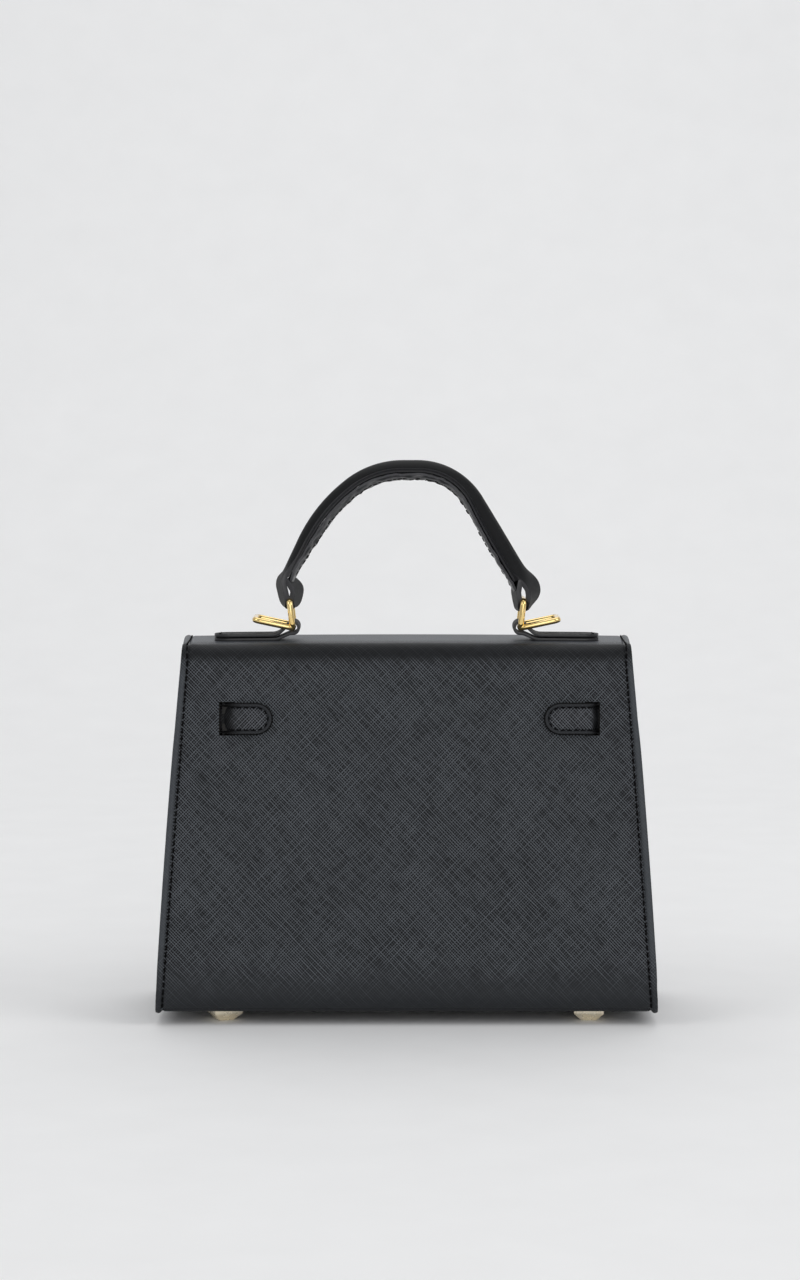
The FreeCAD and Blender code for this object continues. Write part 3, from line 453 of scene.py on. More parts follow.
def lay_sheet(name, across, along, surface, thick, finish, rim, fit=lambda a, b: a,
              flat=lambda x, b: (x, b), soft=SOFT_EDGE, stretch=None):
    """Sheet on surface(x, b, height), with its thickness below.

    fit(a, b) moves column a to its x in row b, and flat(x, b) is the place on the flat cut.
    stretch(x, b) is how far the grain fades and how bright the smooth leather is, painted highlight and shade
    included.
    """
    columns, rows = len(across) - 1, len(along) - 1
    piece = add_piece(bpy.ops.mesh.primitive_grid_add, x_subdivisions=columns, y_subdivisions=rows, size=2)
    piece.name = name
    mesh = piece.data
    mesh.name = name
    spots = []
    if stretch:
        pull, level = [mesh.attributes.new(kind, "FLOAT", "POINT") for kind in ("stretch", "tone_and_painted_light")]
    for vertex in mesh.vertices:
        b = along[round((vertex.co.y + 1) / 2 * rows)]
        x = fit(across[round((vertex.co.x + 1) / 2 * columns)], b)
        vertex.co = surface(x, b, 0)
        spots.append(flat(x, b))
        if stretch:
            pull.data[vertex.index].value, level.data[vertex.index].value = stretch(x, b)
    layer = mesh.uv_layers[0]
    layer.name = "flat"
    for loop in mesh.loops:
        layer.data[loop.index].uv = spots[loop.vertex_index]
    a, b, next_b = across[columns // 2], along[rows // 2], along[rows // 2 + 1]
    here = surface(fit(a, b), b, 0)
    outward = surface(fit(a, b), b, MM) - here
    sideways = surface(fit(across[columns // 2 + 1], b), b, 0) - here
    onward = surface(fit(a, next_b), next_b, 0) - here
    if sideways.cross(onward).dot(outward) < 0:
        in_edit_mode(piece, bpy.ops.mesh.flip_normals)
    mesh.materials.append(finish)
    mesh.materials.append(rim)
    modify(piece, "SOLIDIFY", thickness=thick, offset=-1, material_offset_rim=1)
    if soft:
        modify(piece, "BEVEL", width=soft, segments=2, limit_method="ANGLE", angle_limit=SHARP)
    smooth(piece)
    return piece


def wear(piece, body, slot, *nodes):
    """A finished piece rides on a body and stands for the solids that it covers."""
    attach(piece, body)
    if nodes:
        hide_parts(*nodes)
    print(piece.name, "has", len(piece.data.polygons), "faces")


print("sheets get an edge of", SOFT_EDGE / MM, "mm")

# %% One stitch and its copies
STITCH_PITCH = 3.7 * MM
STITCH_LENGTH = 2.8 * MM
THREAD = 1.0 * MM
THREAD_SUNK = 0.12 * MM
THREAD_SMOOTH = 60
# How far ahead the seam is read to find its direction
LOOK_AHEAD = 0.5 * MM

stitch_model = add_piece(
    bpy.ops.mesh.primitive_cylinder_add, vertices=6, radius=THREAD / 2, depth=STITCH_LENGTH,
    rotation=(0, math.pi / 2, 0))
settle(stitch_model)
in_edit_mode(stitch_model, lambda: bpy.ops.mesh.bevel(offset=THREAD * 0.3, segments=1))
stitch_faces = [list(face.vertices) for face in stitch_model.data.polygons]
stitch_points = [point.co.copy() for point in stitch_model.data.vertices]
bpy.data.objects.remove(stitch_model)


def sew(name, surface, seams, sunk=THREAD_SUNK, pitch=STITCH_PITCH):
    """Stitches along seams, which are bent lines on the flat cut of a surface."""
    points, faces = [], []
    for runs in seams:
        count = int(length_of(runs) / pitch)
        for i in range(count):
            middle = (i + 0.5) * length_of(runs) / count
            here, heading = walk(runs, middle)
            ahead = here + heading * LOOK_AHEAD
            base = surface(here.x, here.y, 0)
            along = (surface(ahead.x, ahead.y, 0) - base).normalized()
            out = (surface(here.x, here.y, MM) - base).normalized()
            side = out.cross(along).normalized()
            turn = Matrix((along, side, out)).transposed()
            lift = out * (THREAD / 2 - sunk)
            first = len(points)
            points += [base + lift + turn @ (point * (pitch / STITCH_PITCH)) for point in stitch_points]
            faces += [[first + corner for corner in face] for face in stitch_faces]
    mesh = bpy.data.meshes.new(name)
    mesh.from_pydata(points, [], faces)
    piece = bpy.data.objects.new(name, mesh)
    bpy.context.scene.collection.objects.link(piece)
    mesh.materials.append(thread)
    smooth(piece, THREAD_SMOOTH)
    return piece


print("a stitch has", len(stitch_faces), "faces")

# %% [markdown]
# ## Sizes taken from the frame
# The frame's boxes give the height, the width and the rounded outline. Only the lean of the walls, the rolls
# and the seam are repeated here, because a box can't tell them.

# %% Sizes
LEAN = math.radians(5.2)
LEATHER = 1.6 * MM
HALF_DEPTH = 48 * MM
LIP = 11 * MM
BOTTOM_ROLL, TOP_ROLL, FRONT_ROLL = 9 * MM, 10 * MM, 8 * MM
FLAP_STACK = 4.8 * MM
FLAP_CORNER = 16 * MM
SEAM = 3.3 * MM
HALF_TOP = 111.35 * MM
SIDE_BOW = 0.9 * MM

rear_low, rear_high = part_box("rear_panel")
flap_low, flap_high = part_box("flap")
FRONT_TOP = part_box("front_panel")[1].z
FLOOR_Z, TOP_Z, HALF_BASE = rear_low.z, flap_high.z, rear_high.x


def half_width(z):
    """Half width of the leaning sides, which bow out a little between base and top."""
    rise = (z - FLOOR_Z) / (TOP_Z - FLOOR_Z)
    return HALF_BASE + (HALF_TOP - HALF_BASE) * rise + SIDE_BOW * 4 * rise * (1 - rise)


def face_y(z):
    """Distance of the leaning walls from the middle."""
    return HALF_DEPTH - (z - FLOOR_Z) * math.tan(LEAN)


print("body", round((TOP_Z - FLOOR_Z) / MM), "mm high and", round(2 * HALF_BASE / MM), "mm wide")

# %% [markdown]
# ## The hide: back, top and flap in one sheet
# The back panel rolls over the top and comes down in front as the flap, without a seam. It could be three
# plates with bevelled corners, but one sheet, laid along one bent line, runs over the fold unbroken as
# leather does. Along its edges a stitched seam pulls a groove and leaves a rounded rim, the back swells a
# little over its board, and the top sags towards its sides.

# %% Hide: its line and width
FLAP_FLARE = 2.2 * MM
flap_out = FLAP_STACK / math.cos(LEAN)
hide_line = bend_line(
    [(-HALF_DEPTH + LIP, FLOOR_Z), (-HALF_DEPTH, FLOOR_Z), (-face_y(TOP_Z), TOP_Z),
     (face_y(TOP_Z) + flap_out, TOP_Z), (face_y(flap_low.z) + flap_out, flap_low.z)],
    [BOTTOM_ROLL, TOP_ROLL, FRONT_ROLL])
HIDE_LENGTH = length_of(hide_line)
back_start, back_end, top_start, top_end, front_start = [
    length_of(hide_line[:count]) for count in (2, 3, 4, 5, 6)]


def hide_edge(s):
    """Half width of the hide before its corners are rounded; the flap is cut wider than the back."""
    return half_width(walk(hide_line, s)[0].y) + FLAP_FLARE * ease(back_end, top_end, s)


def hide_half(s):
    """Half width of the hide, with the round corners of the flap."""
    short = max(FLAP_CORNER - (HIDE_LENGTH - s), 0)
    cut = FLAP_CORNER - math.sqrt(max(FLAP_CORNER ** 2 - short ** 2, 0))
    return hide_edge(s) - cut


print("hide:", round(HIDE_LENGTH / MM), "mm from the base to the edge of the flap")

# %% Hide: its relief
RIM_HEIGHT = 0.5 * MM
GROOVE_DEPTH, GROOVE_WIDTH = 0.5 * MM, 0.75 * MM
BACK_SWELL = 0.9 * MM
TOP_SAG = 0.8 * MM
CORNER_LIFT = 1.2 * MM
CORNER_AT = (HALF_TOP - 16 * MM, HALF_TOP - 3 * MM)
# A knob in both lower corners of the back, and a crease that joins them along the roll
KNOB_AT = back_start - 9 * MM
CORNER_KNOB, KNOB_WIDTH = 0.9 * MM, 4 * MM
BASE_CREASE, CREASE_WIDTH = 0.9 * MM, 0.7 * MM


def rim_relief(inside):
    """Height of a sewn edge by its distance from the outline: a rounded rim, then the seam's groove."""
    rim = RIM_HEIGHT * math.sin(math.pi * clamp(inside / SEAM))
    return rim - GROOVE_DEPTH * bell(inside - SEAM, GROOVE_WIDTH)


def corner_inside(side, end, radius):
    """Distance from an outline with a rounded corner, by the distances from its two sides."""
    if side < radius and end < radius:
        return radius - math.hypot(radius - side, radius - end)
    return min(side, end)


def top_drop(x):
    """How far the top has sunk towards the sides."""
    return TOP_SAG * (x / HALF_TOP) ** 2


def top_sag(x, s):
    """The drop of the top, fading out over both rolls."""
    return top_drop(x) * ease(back_end, top_start, s) * (1 - ease(top_end, front_start, s))


def corner_lift(x, s):
    """The stiff sewn corners stand up where the back rolls over."""
    share = clamp((s - back_end) / (top_start - back_end))
    return CORNER_LIFT * math.sin(math.pi * share) * ease(*CORNER_AT, abs(x))


def hide_relief(x, s):
    """Height of rim, groove, swell, knobs, crease, sag and corners, all in one."""
    side = hide_edge(s) - abs(x)
    inside = corner_inside(side, HIDE_LENGTH - s, FLAP_CORNER)
    share = clamp((s - back_start) / (back_end - back_start))
    swell = BACK_SWELL * math.sin(math.pi * share) * (1 - (x / hide_edge(s)) ** 2)
    knob = CORNER_KNOB * ease(SEAM, SEAM / 2, side) * bell(s - KNOB_AT, KNOB_WIDTH)
    crease = BASE_CREASE * bell(s - KNOB_AT, CREASE_WIDTH) * ease(SEAM / 2, SEAM, side)
    return rim_relief(inside) + swell + knob - crease - top_sag(x, s) + corner_lift(x, s)


def hide_surface(x, s, height):
    return on_line(hide_line, x, s, height + hide_relief(x, s))


print("the back swells", round(hide_relief(0, (back_start + back_end) / 2) / MM, 1), "mm")

# %% [markdown]
# ## Where the grain fades
# Stretching flattens the press marks: over the rolls above and below the back, on the top, and along the
# sewn edge. The fade could be painted on by hand, but then it would stay behind when a size changes. Worked
# out from the hide's own line, it is stored with each point of the sheet. With it goes painted light: a
# painted reflection makes the top bright, and painted shade makes the roll above the back dark.

# %% Where the grain fades
# How far the grain fades on a roll, on the top and on a sewn edge
ROLL_FADE, TOP_FADE, BEAD_FADE = 0.9, 0.75, 0.85
# How bright smooth leather is: above and below the back, on the top, on a sewn edge, on a strap's border;
# above the back it is darkened with painted shade, and on the top brightened with a painted reflection
HIGH_ROLL_PAINTED_SHADE, LOW_POLISH, TOP_PAINTED_REFLECTION, BEAD_POLISH, BORDER_POLISH = 0.07, 0.2, 0.95, 0.55, 0.22
LEAST_FADE = 0.001
# Where along the hide each fade starts and is full, and where it ends
LOW_FADE_IN = (back_start + 26 * MM, back_start - 2 * MM)
HIGH_FADE_IN = (back_end - 3 * MM, back_end + 4 * MM)
HIGH_FADE_OUT = (top_start + 6 * MM, top_start - 4 * MM)
TOP_FADE_IN = (top_start - 3 * MM, top_start + 22 * MM)
BEAD_FADE_IN = (SEAM + 0.5 * MM, SEAM - 0.7 * MM)


def bead_share(inside):
    """1 between a seam and the outline, 0 inside the seam."""
    return ease(*BEAD_FADE_IN, inside)


def hide_stretch(x, s):
    """Smooth and dark on the rolls by the back, with painted shade on the upper roll; smooth and bright on
    the top, where the brightness is a painted reflection, and on the sewn edge.
    """
    low = ROLL_FADE * ease(*LOW_FADE_IN, s)
    high = ROLL_FADE * ease(*HIGH_FADE_IN, s) * ease(*HIGH_FADE_OUT, s)
    top = TOP_FADE * ease(*TOP_FADE_IN, s) * (1 - ease(top_end, front_start, s))
    inside = min(hide_half(s) - abs(x), HIDE_LENGTH - s)
    bead = BEAD_FADE * bead_share(inside) * (1 - max(low, high))
    parts = ((low, LOW_POLISH), (high, HIGH_ROLL_PAINTED_SHADE), (top, TOP_PAINTED_REFLECTION), (bead, BEAD_POLISH))
    total = max(sum(share for share, tone_and_painted_light in parts), LEAST_FADE)
    return max(low, high, top, bead), sum(share * tone_and_painted_light for share, tone_and_painted_light in parts) / total


print("on the top the grain fades by", hide_stretch(0, (top_start + top_end) / 2)[0])

# %% Hide: columns, rows and the sheet
EDGE_STEPS = [d * MM for d in (0, 0.4, 0.9, 1.5, 2.1, 2.6, 3.0, 3.3, 3.7, 4.2, 5.0, 6.5, 9, 13, 20)]
EDGE_ZONE = EDGE_STEPS[-1]
CREASE_STEPS = [d * MM for d in (-1.8, -1.2, -0.7, -0.35, 0, 0.35, 0.7, 1.2, 1.8)]
CREASE_ZONE = 2.2 * MM
HIDE_ROW, FRONT_ROW, BEND_ROW = 5 * MM, 6 * MM, 1.3 * MM


def edge_columns(middle):
    """Columns across a panel: close together near both edges, wide in the middle."""
    right = [HALF_BASE - d for d in EDGE_STEPS]
    inner = steps(-HALF_BASE + EDGE_ZONE, HALF_BASE - EDGE_ZONE, middle)
    return [-x for x in right] + inner[1:-1] + right[::-1]


def fit_column(a, half):
    """Column a of a panel at its widest, moved to its place where the panel has this half width."""
    if abs(a) >= HALF_BASE - EDGE_ZONE:
        return math.copysign(half - (HALF_BASE - abs(a)), a)
    return a * (half - EDGE_ZONE) / (HALF_BASE - EDGE_ZONE)


end_rows = sorted({round(HIDE_LENGTH - d, 6) for d in round_rows(FLAP_CORNER, 0, 6) + EDGE_STEPS})
hide_rows = [s for s in marks(hide_line, HIDE_ROW, BEND_ROW)
             if s < end_rows[0] - MM and abs(s - KNOB_AT) > CREASE_ZONE]
hide_rows = sorted(hide_rows + [KNOB_AT + d for d in CREASE_STEPS] + end_rows)
hide = lay_sheet(
    "hide", edge_columns(24), hide_rows, hide_surface, LEATHER, leather, edge_paint,
    fit=lambda a, s: fit_column(a, hide_half(s)), stretch=hide_stretch)
print("hide has", len(hide.data.polygons), "faces")

# %% [markdown]
# ## Slots in the hide
# Four narrow slots let the strap ends and the belt pass through the hide. A box cuts each of them with a
# Boolean, once the sheet has its thickness, so that the cut shows a real leather edge.

# %% Slots
SLOT_ROOM = 0.35 * MM
SLOT_SIZE = (7.4 * MM, 12 * MM, 16.7 * MM)
# Part of a slot that stays open beside its strap; the left one at the back is pulled open
SLOT_OPEN = {
    "strap_end_left": 2.4 * MM, "strap_end_right": 0.9 * MM, "belt_left": 0.9 * MM, "belt_right": 0.9 * MM}
# The straps at the back sit a little to the right of the middle
STRAP_SHIFT = 1.4 * MM
STRAP_TAIL = 8.5 * MM


def cut_slot(piece, node, tilt):
    """Cut the slot at the outer end of a strap's solid; the answer is where the strap has gone in."""
    low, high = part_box(node)
    outside = 1 if low.x > 0 else -1
    edge = high.x if outside > 0 else low.x
    if node.startswith("strap"):
        edge += STRAP_SHIFT - outside * STRAP_TAIL
    middle = (edge + outside * (SLOT_ROOM - SLOT_SIZE[0] / 2), (low.y + high.y) / 2, (low.z + high.z) / 2)
    cutter = add_piece(bpy.ops.mesh.primitive_cube_add, size=1, location=middle, rotation=(tilt, 0, 0))
    cutter.scale = SLOT_SIZE
    settle(cutter)
    modify(piece, "BOOLEAN", object=cutter, operation="DIFFERENCE", solver="EXACT")
    bpy.data.objects.remove(cutter)
    return edge - outside * SLOT_OPEN[node]


slot_places = {}
for node in SLOT_OPEN:
    slot_places[node] = cut_slot(hide, node, -LEAN if node.startswith("strap") else LEAN)
print("straps go in at", [round(x / MM) for x in slot_places.values()])

# %% [markdown]
# ## Seam of the hide
# One row of black stitches runs up each side of the back, over the top, down the flap and round its corners.
# The seam is a bent line on the flat cut, a seam's width inside the outline.

# %% Seam of the hide
SEAM_BEND = 20 * MM
SEAM_START = back_start - 8 * MM


def seam_round(edge, stations, radii):
    """Bent line a seam's width inside an outline: up its left side, along its end and down its right."""
    left = [(SEAM - edge(s), s) for s in stations]
    right = [(-x, s) for x, s in reversed(left)]
    return bend_line(left + right, radii + radii[::-1])


hide_seam = seam_round(
    hide_edge, [SEAM_START, back_end, top_end, HIDE_LENGTH - SEAM],
    [SEAM_BEND, SEAM_BEND, FLAP_CORNER - SEAM])
hide_stitches = sew("hide_stitches", hide_surface, [hide_seam])
for piece in (hide, hide_stitches):
    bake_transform(piece)
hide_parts("rear_panel", "flap")
print("stitches in the seam:", len(hide_stitches.data.polygons) // len(stitch_faces))

# %% [markdown]
# ## Front panel and base
# The front panel is cut like the back, but it stops below the flap. The base is a flat strip between the two
# lips. Both are sheets on their own lines.

# %% Front panel
FRONT_CORNER = 2 * MM
front_line = bend_line(
    [(HALF_DEPTH - LIP, FLOOR_Z), (HALF_DEPTH, FLOOR_Z), (face_y(FRONT_TOP), FRONT_TOP)], [BOTTOM_ROLL])
FRONT_LENGTH = length_of(front_line)


def front_edge(s):
    """Half width of the front panel."""
    return half_width(walk(front_line, s)[0].y)


def front_inside(x, s):
    """Distance from the outline of the front panel."""
    return min(front_edge(s) - abs(x), FRONT_LENGTH - s)


def front_surface(x, s, height):
    return on_line(front_line, x, s, -(height + rim_relief(front_inside(x, s))))


front_rows = [s for s in marks(front_line, FRONT_ROW, BEND_ROW) if s < FRONT_LENGTH - EDGE_ZONE - MM]
front_rows += [FRONT_LENGTH - d for d in EDGE_STEPS[::-1]]
front_panel = lay_sheet(
    "front_panel_skin", edge_columns(20), front_rows, front_surface, LEATHER, leather, edge_paint,
    fit=lambda a, s: fit_column(a, front_edge(s)),
    stretch=lambda x, s: (BEAD_FADE * bead_share(front_inside(x, s)), BEAD_POLISH))
wear(front_panel, "bag_body", "black_leather", "front_panel")
front_seam = seam_round(front_edge, [length_of(front_line[:2]), FRONT_LENGTH - SEAM], [FRONT_CORNER])
wear(sew("front_stitches", front_surface, [front_seam]), "bag_body", "black_leather")

# %% Base
BASE_HALF = HALF_DEPTH - LIP
BASE_SWELL = 0.5 * MM
BASE_EDGE = 0.5 * MM


def base_surface(x, y, height):
    swell = BASE_SWELL * (1 - (y / BASE_HALF) ** 2) * (1 - (x / HALF_BASE) ** 2)
    return Vector((x, y, FLOOR_Z - height - swell))


base_half = half_width(FLOOR_Z + LEATHER)
base = lay_sheet(
    "base_skin", steps(-base_half, base_half, 40), steps(-BASE_HALF, BASE_HALF, 14), base_surface,
    LEATHER, leather, edge_paint, soft=BASE_EDGE)
wear(base, "bag_body", "black_leather", "base_panel")

# %% [markdown]
# ## Gussets
# Each side is closed by a gusset: flat at the base, and folding inwards along its middle towards the opening,
# so that the bag can close. At every height its cut is a bent line with a soft crease; the sheet lofts these
# lines from the base to the rim. Its edges turn out along the panels, where the seam holds them.

# %% Gussets
SIDES = (("left", -1), ("right", 1))
GUSSET_LOW, GUSSET_TOP = [corner.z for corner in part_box("gusset_right")]
GUSSET_LEATHER = LEATHER - 0.2 * MM
GUSSET_SEAM = 5 * MM
GUSSET_BULGE, BULGE_SHAPE = 1.6 * MM, 0.6
GUSSET_RADII = [2 * MM, 7 * MM, 2 * MM]
PLEAT, PLEAT_START = 20 * MM, 0.4 * MM
# The gussets' edges stand out a little beyond the panels, the right one more, and hide at their ends
GUSSET_PROUD = {-1: 0.2 * MM, 1: 0.4 * MM}
GUSSET_HIDDEN = 0.4 * MM
PROUD_LOW, PROUD_HIGH = 20 * MM, 40 * MM
# Room between two layers of leather or cloth
LAYER_ROOM = 0.05 * MM
# The gussets draw in at the base by this share of the panels' roll
ROLL_SHARE = 0.45


def gusset_line(z, side):
    """Cut through a gusset at a height, from the back's edge round the crease to the front's edge."""
    rise = (z - GUSSET_LOW) / (GUSSET_TOP - GUSSET_LOW)
    proud = ease(0, PROUD_LOW, z - GUSSET_LOW) * ease(0, PROUD_HIGH, GUSSET_TOP - z)
    edge = half_width(z) + GUSSET_PROUD[side] * proud - GUSSET_HIDDEN * (1 - proud)
    wall = half_width(z) - GUSSET_SEAM
    roll = ease(BOTTOM_ROLL, 0, z - GUSSET_LOW) * BOTTOM_ROLL * ROLL_SHARE
    face = face_y(z) - LEATHER - LAYER_ROOM - roll
    crease = wall - PLEAT_START - PLEAT * rise
    return bend_line([(edge, -face), (wall, -face), (crease, 0), (wall, face), (edge, face)], GUSSET_RADII)


def gusset_surface(side):
    def surface(share, z, height):
        runs = gusset_line(z, side)
        place, heading = walk(runs, share * length_of(runs))
        rise = (z - GUSSET_LOW) / (GUSSET_TOP - GUSSET_LOW)
        bulge = GUSSET_BULGE * math.sin(math.pi * share) ** 2 * math.sin(math.pi * rise ** BULGE_SHAPE)
        out = left_of(heading) * -(height + bulge)
        return Vector((side * (place.x + out.x), place.y + out.y, z))
    return surface


roll_end = GUSSET_LOW + BOTTOM_ROLL
gusset_rows = steps(GUSSET_LOW, roll_end, 6)[:-1] + steps(roll_end, GUSSET_TOP, 26)
for name, side in SIDES:
    gusset = lay_sheet(
        f"gusset_skin_{name}", steps(0, 1, 64), gusset_rows, gusset_surface(side), GUSSET_LEATHER, leather,
        edge_paint, flat=lambda share, z: (share * length_of(gusset_line(z, side)), z))
    wear(gusset, "bag_body", "black_leather", f"gusset_{name}")

# %% [markdown]
# ## Straps that lie on a leaning wall
# The strap ends at the back and the belt on the flap are narrow strips with a raised, rounded border round a
# row of stitches. Each rises out of its slot and lies on the leather; beside the slot and along its outer
# edge, painted shade darkens it. A strap has its own small frame: x along the bag, v up the wall, and the
# height away from the wall.

# %% Straps: their frame, border and seams
STRAP_HALF = 8 * MM
STRAP_THICK = 2.0 * MM
BORDER = 2.3 * MM
BORDER_HEIGHT, BORDER_BASE, BORDER_SHAPE = 1.1 * MM, 0.2 * MM, 0.7
BORDER_GROOVE, BORDER_GROOVE_WIDTH = 0.5 * MM, 0.6 * MM
STRAP_SWELL = 0.8 * MM


def strap_frame(node, facing):
    """Function that turns (x, v, height) beside a strap's slot into a place; facing is the sign of Y."""
    low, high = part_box(node)
    z = (low.z + high.z) / 2
    y = facing * (face_y(z) + (flap_out if facing > 0 else 0))
    up = Vector((0, -facing * math.sin(LEAN), math.cos(LEAN)))
    out = Vector((0, facing * math.cos(LEAN), math.sin(LEAN)))
    base = Vector((0, y, z))
    return lambda x, v, height: base + Vector((x, 0, 0)) + up * v + out * height


def border_relief(inside):
    """A rounded border, the groove of its stitches, and a slightly swollen middle."""
    border = BORDER_HEIGHT * math.sin(math.pi * clamp(inside / BORDER)) ** BORDER_SHAPE - BORDER_BASE
    groove = BORDER_GROOVE * bell(inside - BORDER, BORDER_GROOVE_WIDTH)
    return border - groove + STRAP_SWELL * ease(BORDER, STRAP_HALF, inside)


def straight_runs(points):
    """Runs of a line that goes straight from point to point."""
    points = [Vector(point) for point in points]
    return [(start, (end - start).normalized(), (end - start).length, 0.0)
            for start, end in zip(points, points[1:])]


def tip_line(half, reach, start, end):
    """Line round a strap's oval tip, a seam's width inside it, from one side to the other."""
    turns = [math.radians(angle) for angle in range(0, 181, 6)]
    oval = [(-half * math.cos(turn), start + reach * (1 - math.sin(turn))) for turn in turns]
    return straight_runs([(-half, end)] + oval + [(half, end)])


def lengthwise(v, b):
    """Place on the flat cut of a strip, whose length lies along the grain's first axis."""
    return b, v


print("straps are", 2 * STRAP_HALF / MM, "mm wide")

# %% Straps: one strip and its seam
TIP_REACH = 8.6 * MM
SQUARE_TIP = 0.5 * MM
STRIP_THICK = STRAP_THICK - 0.15 * MM
STRAP_EDGE = 0.5 * MM
STRAP_STITCH = 3.3 * MM
STRAP_ROW, STRAP_BEND_ROW, ROW_ROOM = 1.5 * MM, 0.4 * MM, 0.3 * MM
# The strip falls into its slot over this length, and its seam stops this far from both ends
STRAP_FALL, FALL_RADII = 2 * MM, [2.5 * MM, 0.6 * MM]
SEAM_STOP = 2 * MM
# Where the border turns smooth, and where painted shade darkens its outer edge and the strip beside its slot
BORDER_FADE_IN = (BORDER + 0.4 * MM, BORDER - 0.4 * MM)
EDGE_PAINTED_SHADE_IN = (1.0 * MM, 0.4 * MM)
SLOT_PAINTED_SHADE_END = 1 * MM
# How deep a strip may go behind the wall's face, at the back and on the flap
SLOT_DEPTH = {-1: LEATHER + 1.3 * MM, 1: LEATHER + 0.2 * MM}


def strap_piece(name, node, facing, tip, slot_x, rounded, sunk):
    """Strip from its tip to the slot, where it sinks in; seam and sheet share one surface."""
    frame_of = strap_frame(node, facing)
    side = 1 if slot_x > tip else -1
    reach = abs(slot_x - tip)
    gap = SLOT_OPEN[node]
    fall = STRAP_FALL + gap
    line = bend_line(
        [(0, STRAP_THICK), (reach - fall, STRAP_THICK), (reach, -sunk), (reach + gap, -sunk)], FALL_RADII)
    oval = TIP_REACH if rounded else SQUARE_TIP

    def half_at(b):
        return STRAP_HALF * math.sqrt(1 - clamp(1 - b / oval) ** 2)

    def inside_at(v, b):
        return STRAP_HALF * (1 - math.hypot(v / STRAP_HALF, max(1 - b / oval, 0)))

    def surface(v, b, height):
        place, heading = walk(line, b)
        out = left_of(heading) * (height + border_relief(inside_at(v, b)))
        return frame_of(tip + side * (place.x + out.x), v, place.y + out.y)

    # Painted shade: dark and without grain beside the slot, as in a recess, and along the outer edge, as a
    # contact shadow
    def tone_and_painted_light(v, b):
        inside = inside_at(v, b)
        slot_painted_shade = ease(reach - fall - 3 * gap, reach - SLOT_PAINTED_SHADE_END, b)
        painted_shade = max(slot_painted_shade, ease(*EDGE_PAINTED_SHADE_IN, inside))
        return max(ease(*BORDER_FADE_IN, inside), ROLL_FADE * painted_shade), BORDER_POLISH * (1 - painted_shade)

    rows = round_rows(oval, 5, 3)
    rows += [b for b in marks(line, STRAP_ROW, STRAP_BEND_ROW) if b > rows[-1] + ROW_ROOM]
    piece = lay_sheet(
        name, steps(-STRAP_HALF, STRAP_HALF, 44), rows, surface, STRIP_THICK, strap_leather, edge_paint,
        fit=lambda a, b: a * half_at(b) / STRAP_HALF, flat=lengthwise, soft=STRAP_EDGE, stretch=tone_and_painted_light)
    # Behind the slot the strip is pared thin, so that it stays clear of the lining
    base, out = frame_of(0, 0, 0), frame_of(0, 0, 1) - frame_of(0, 0, 0)
    for point in piece.data.vertices:
        point.co += out * max((base - point.co).dot(out) - SLOT_DEPTH[facing], 0)
    sewn = STRAP_HALF - BORDER
    end = reach - SEAM_STOP
    if rounded:
        seams = [tip_line(sewn, oval * sewn / STRAP_HALF, BORDER * oval / STRAP_HALF, end)]
    else:
        seams = [straight_runs([(v, SEAM_STOP), (v, end)]) for v in (-sewn, sewn)]
    return piece, sew(f"{name}_stitches", surface, seams, pitch=STRAP_STITCH)


print("a rounded tip reaches", TIP_REACH / MM, "mm")

# %% Strap ends and belt
TIP_SHORT = {"left": 2.5 * MM, "right": 1.4 * MM}
STRAP_SUNK, BELT_SUNK = 1.9 * MM, 0.2 * MM
for name, side in SIDES:
    node = f"strap_end_{name}"
    low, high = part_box(node)
    tip = (low.x if side > 0 else high.x) + STRAP_SHIFT + side * TIP_SHORT[name]
    piece, stitches = strap_piece(f"strap_tip_{name}", node, -1, tip, slot_places[node], True, STRAP_SUNK)
    wear(piece, "bag_body", "black_leather", node)
    wear(stitches, "bag_body", "black_leather")
    node = f"belt_{name}"
    low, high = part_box(node)
    tip = low.x if low.x > 0 else high.x
    piece, stitches = strap_piece(f"belt_strip_{name}", node, 1, tip, slot_places[node], False, BELT_SUNK)
    wear(piece, "flap", "black_leather", node)
    wear(stitches, "flap", "black_leather")

# %% [markdown]
# ## Handle tabs
# A tab is one strip folded round the corner bar of a ring, with both ends lying on the top of the bag. The
# fold leaves a loop with a small opening. The line of the strip goes out along the upper layer, round the
# bar, and back along the lower one; the width is across the bag.

# %% Handle tabs
TAB_LEATHER = 1.4 * MM
TAB_GAP = 0.7 * MM
TAB_TIP = 7 * MM
TAB_MEET = 7.9 * MM
TAB_EDGE = 0.55 * MM
TAB_ROW, TAB_BEND_ROW = 3 * MM, 0.6 * MM
TAB_RADII = [7 * MM, 3 * MM, 3.4 * MM, 3.4 * MM, 3 * MM, 9 * MM]
TAB_SEAM_HALF, TAB_SEAM_IN, TAB_SEAM_END = 5.6 * MM, 2.4 * MM, 28 * MM
TAB_SEAM_CORNER = 4.5 * MM
TAB_SUNK, TAB_STITCH = 0.4 * MM, 2.9 * MM
TAB_GROOVE, TAB_GROOVE_WIDTH, TAB_GROOVE_END = 0.4 * MM, 0.7 * MM, 34 * MM
RING_X = 57.3 * MM
CORNER_Z = 195.5 * MM
tab_low, tab_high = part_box("handle_tab_left")
tab_hug = tab_high.z - CORNER_Z
tab_end = -tab_low.x
tab_meet = RING_X + TAB_MEET
tab_top = TOP_Z + 2 * TAB_LEATHER + TAB_GAP
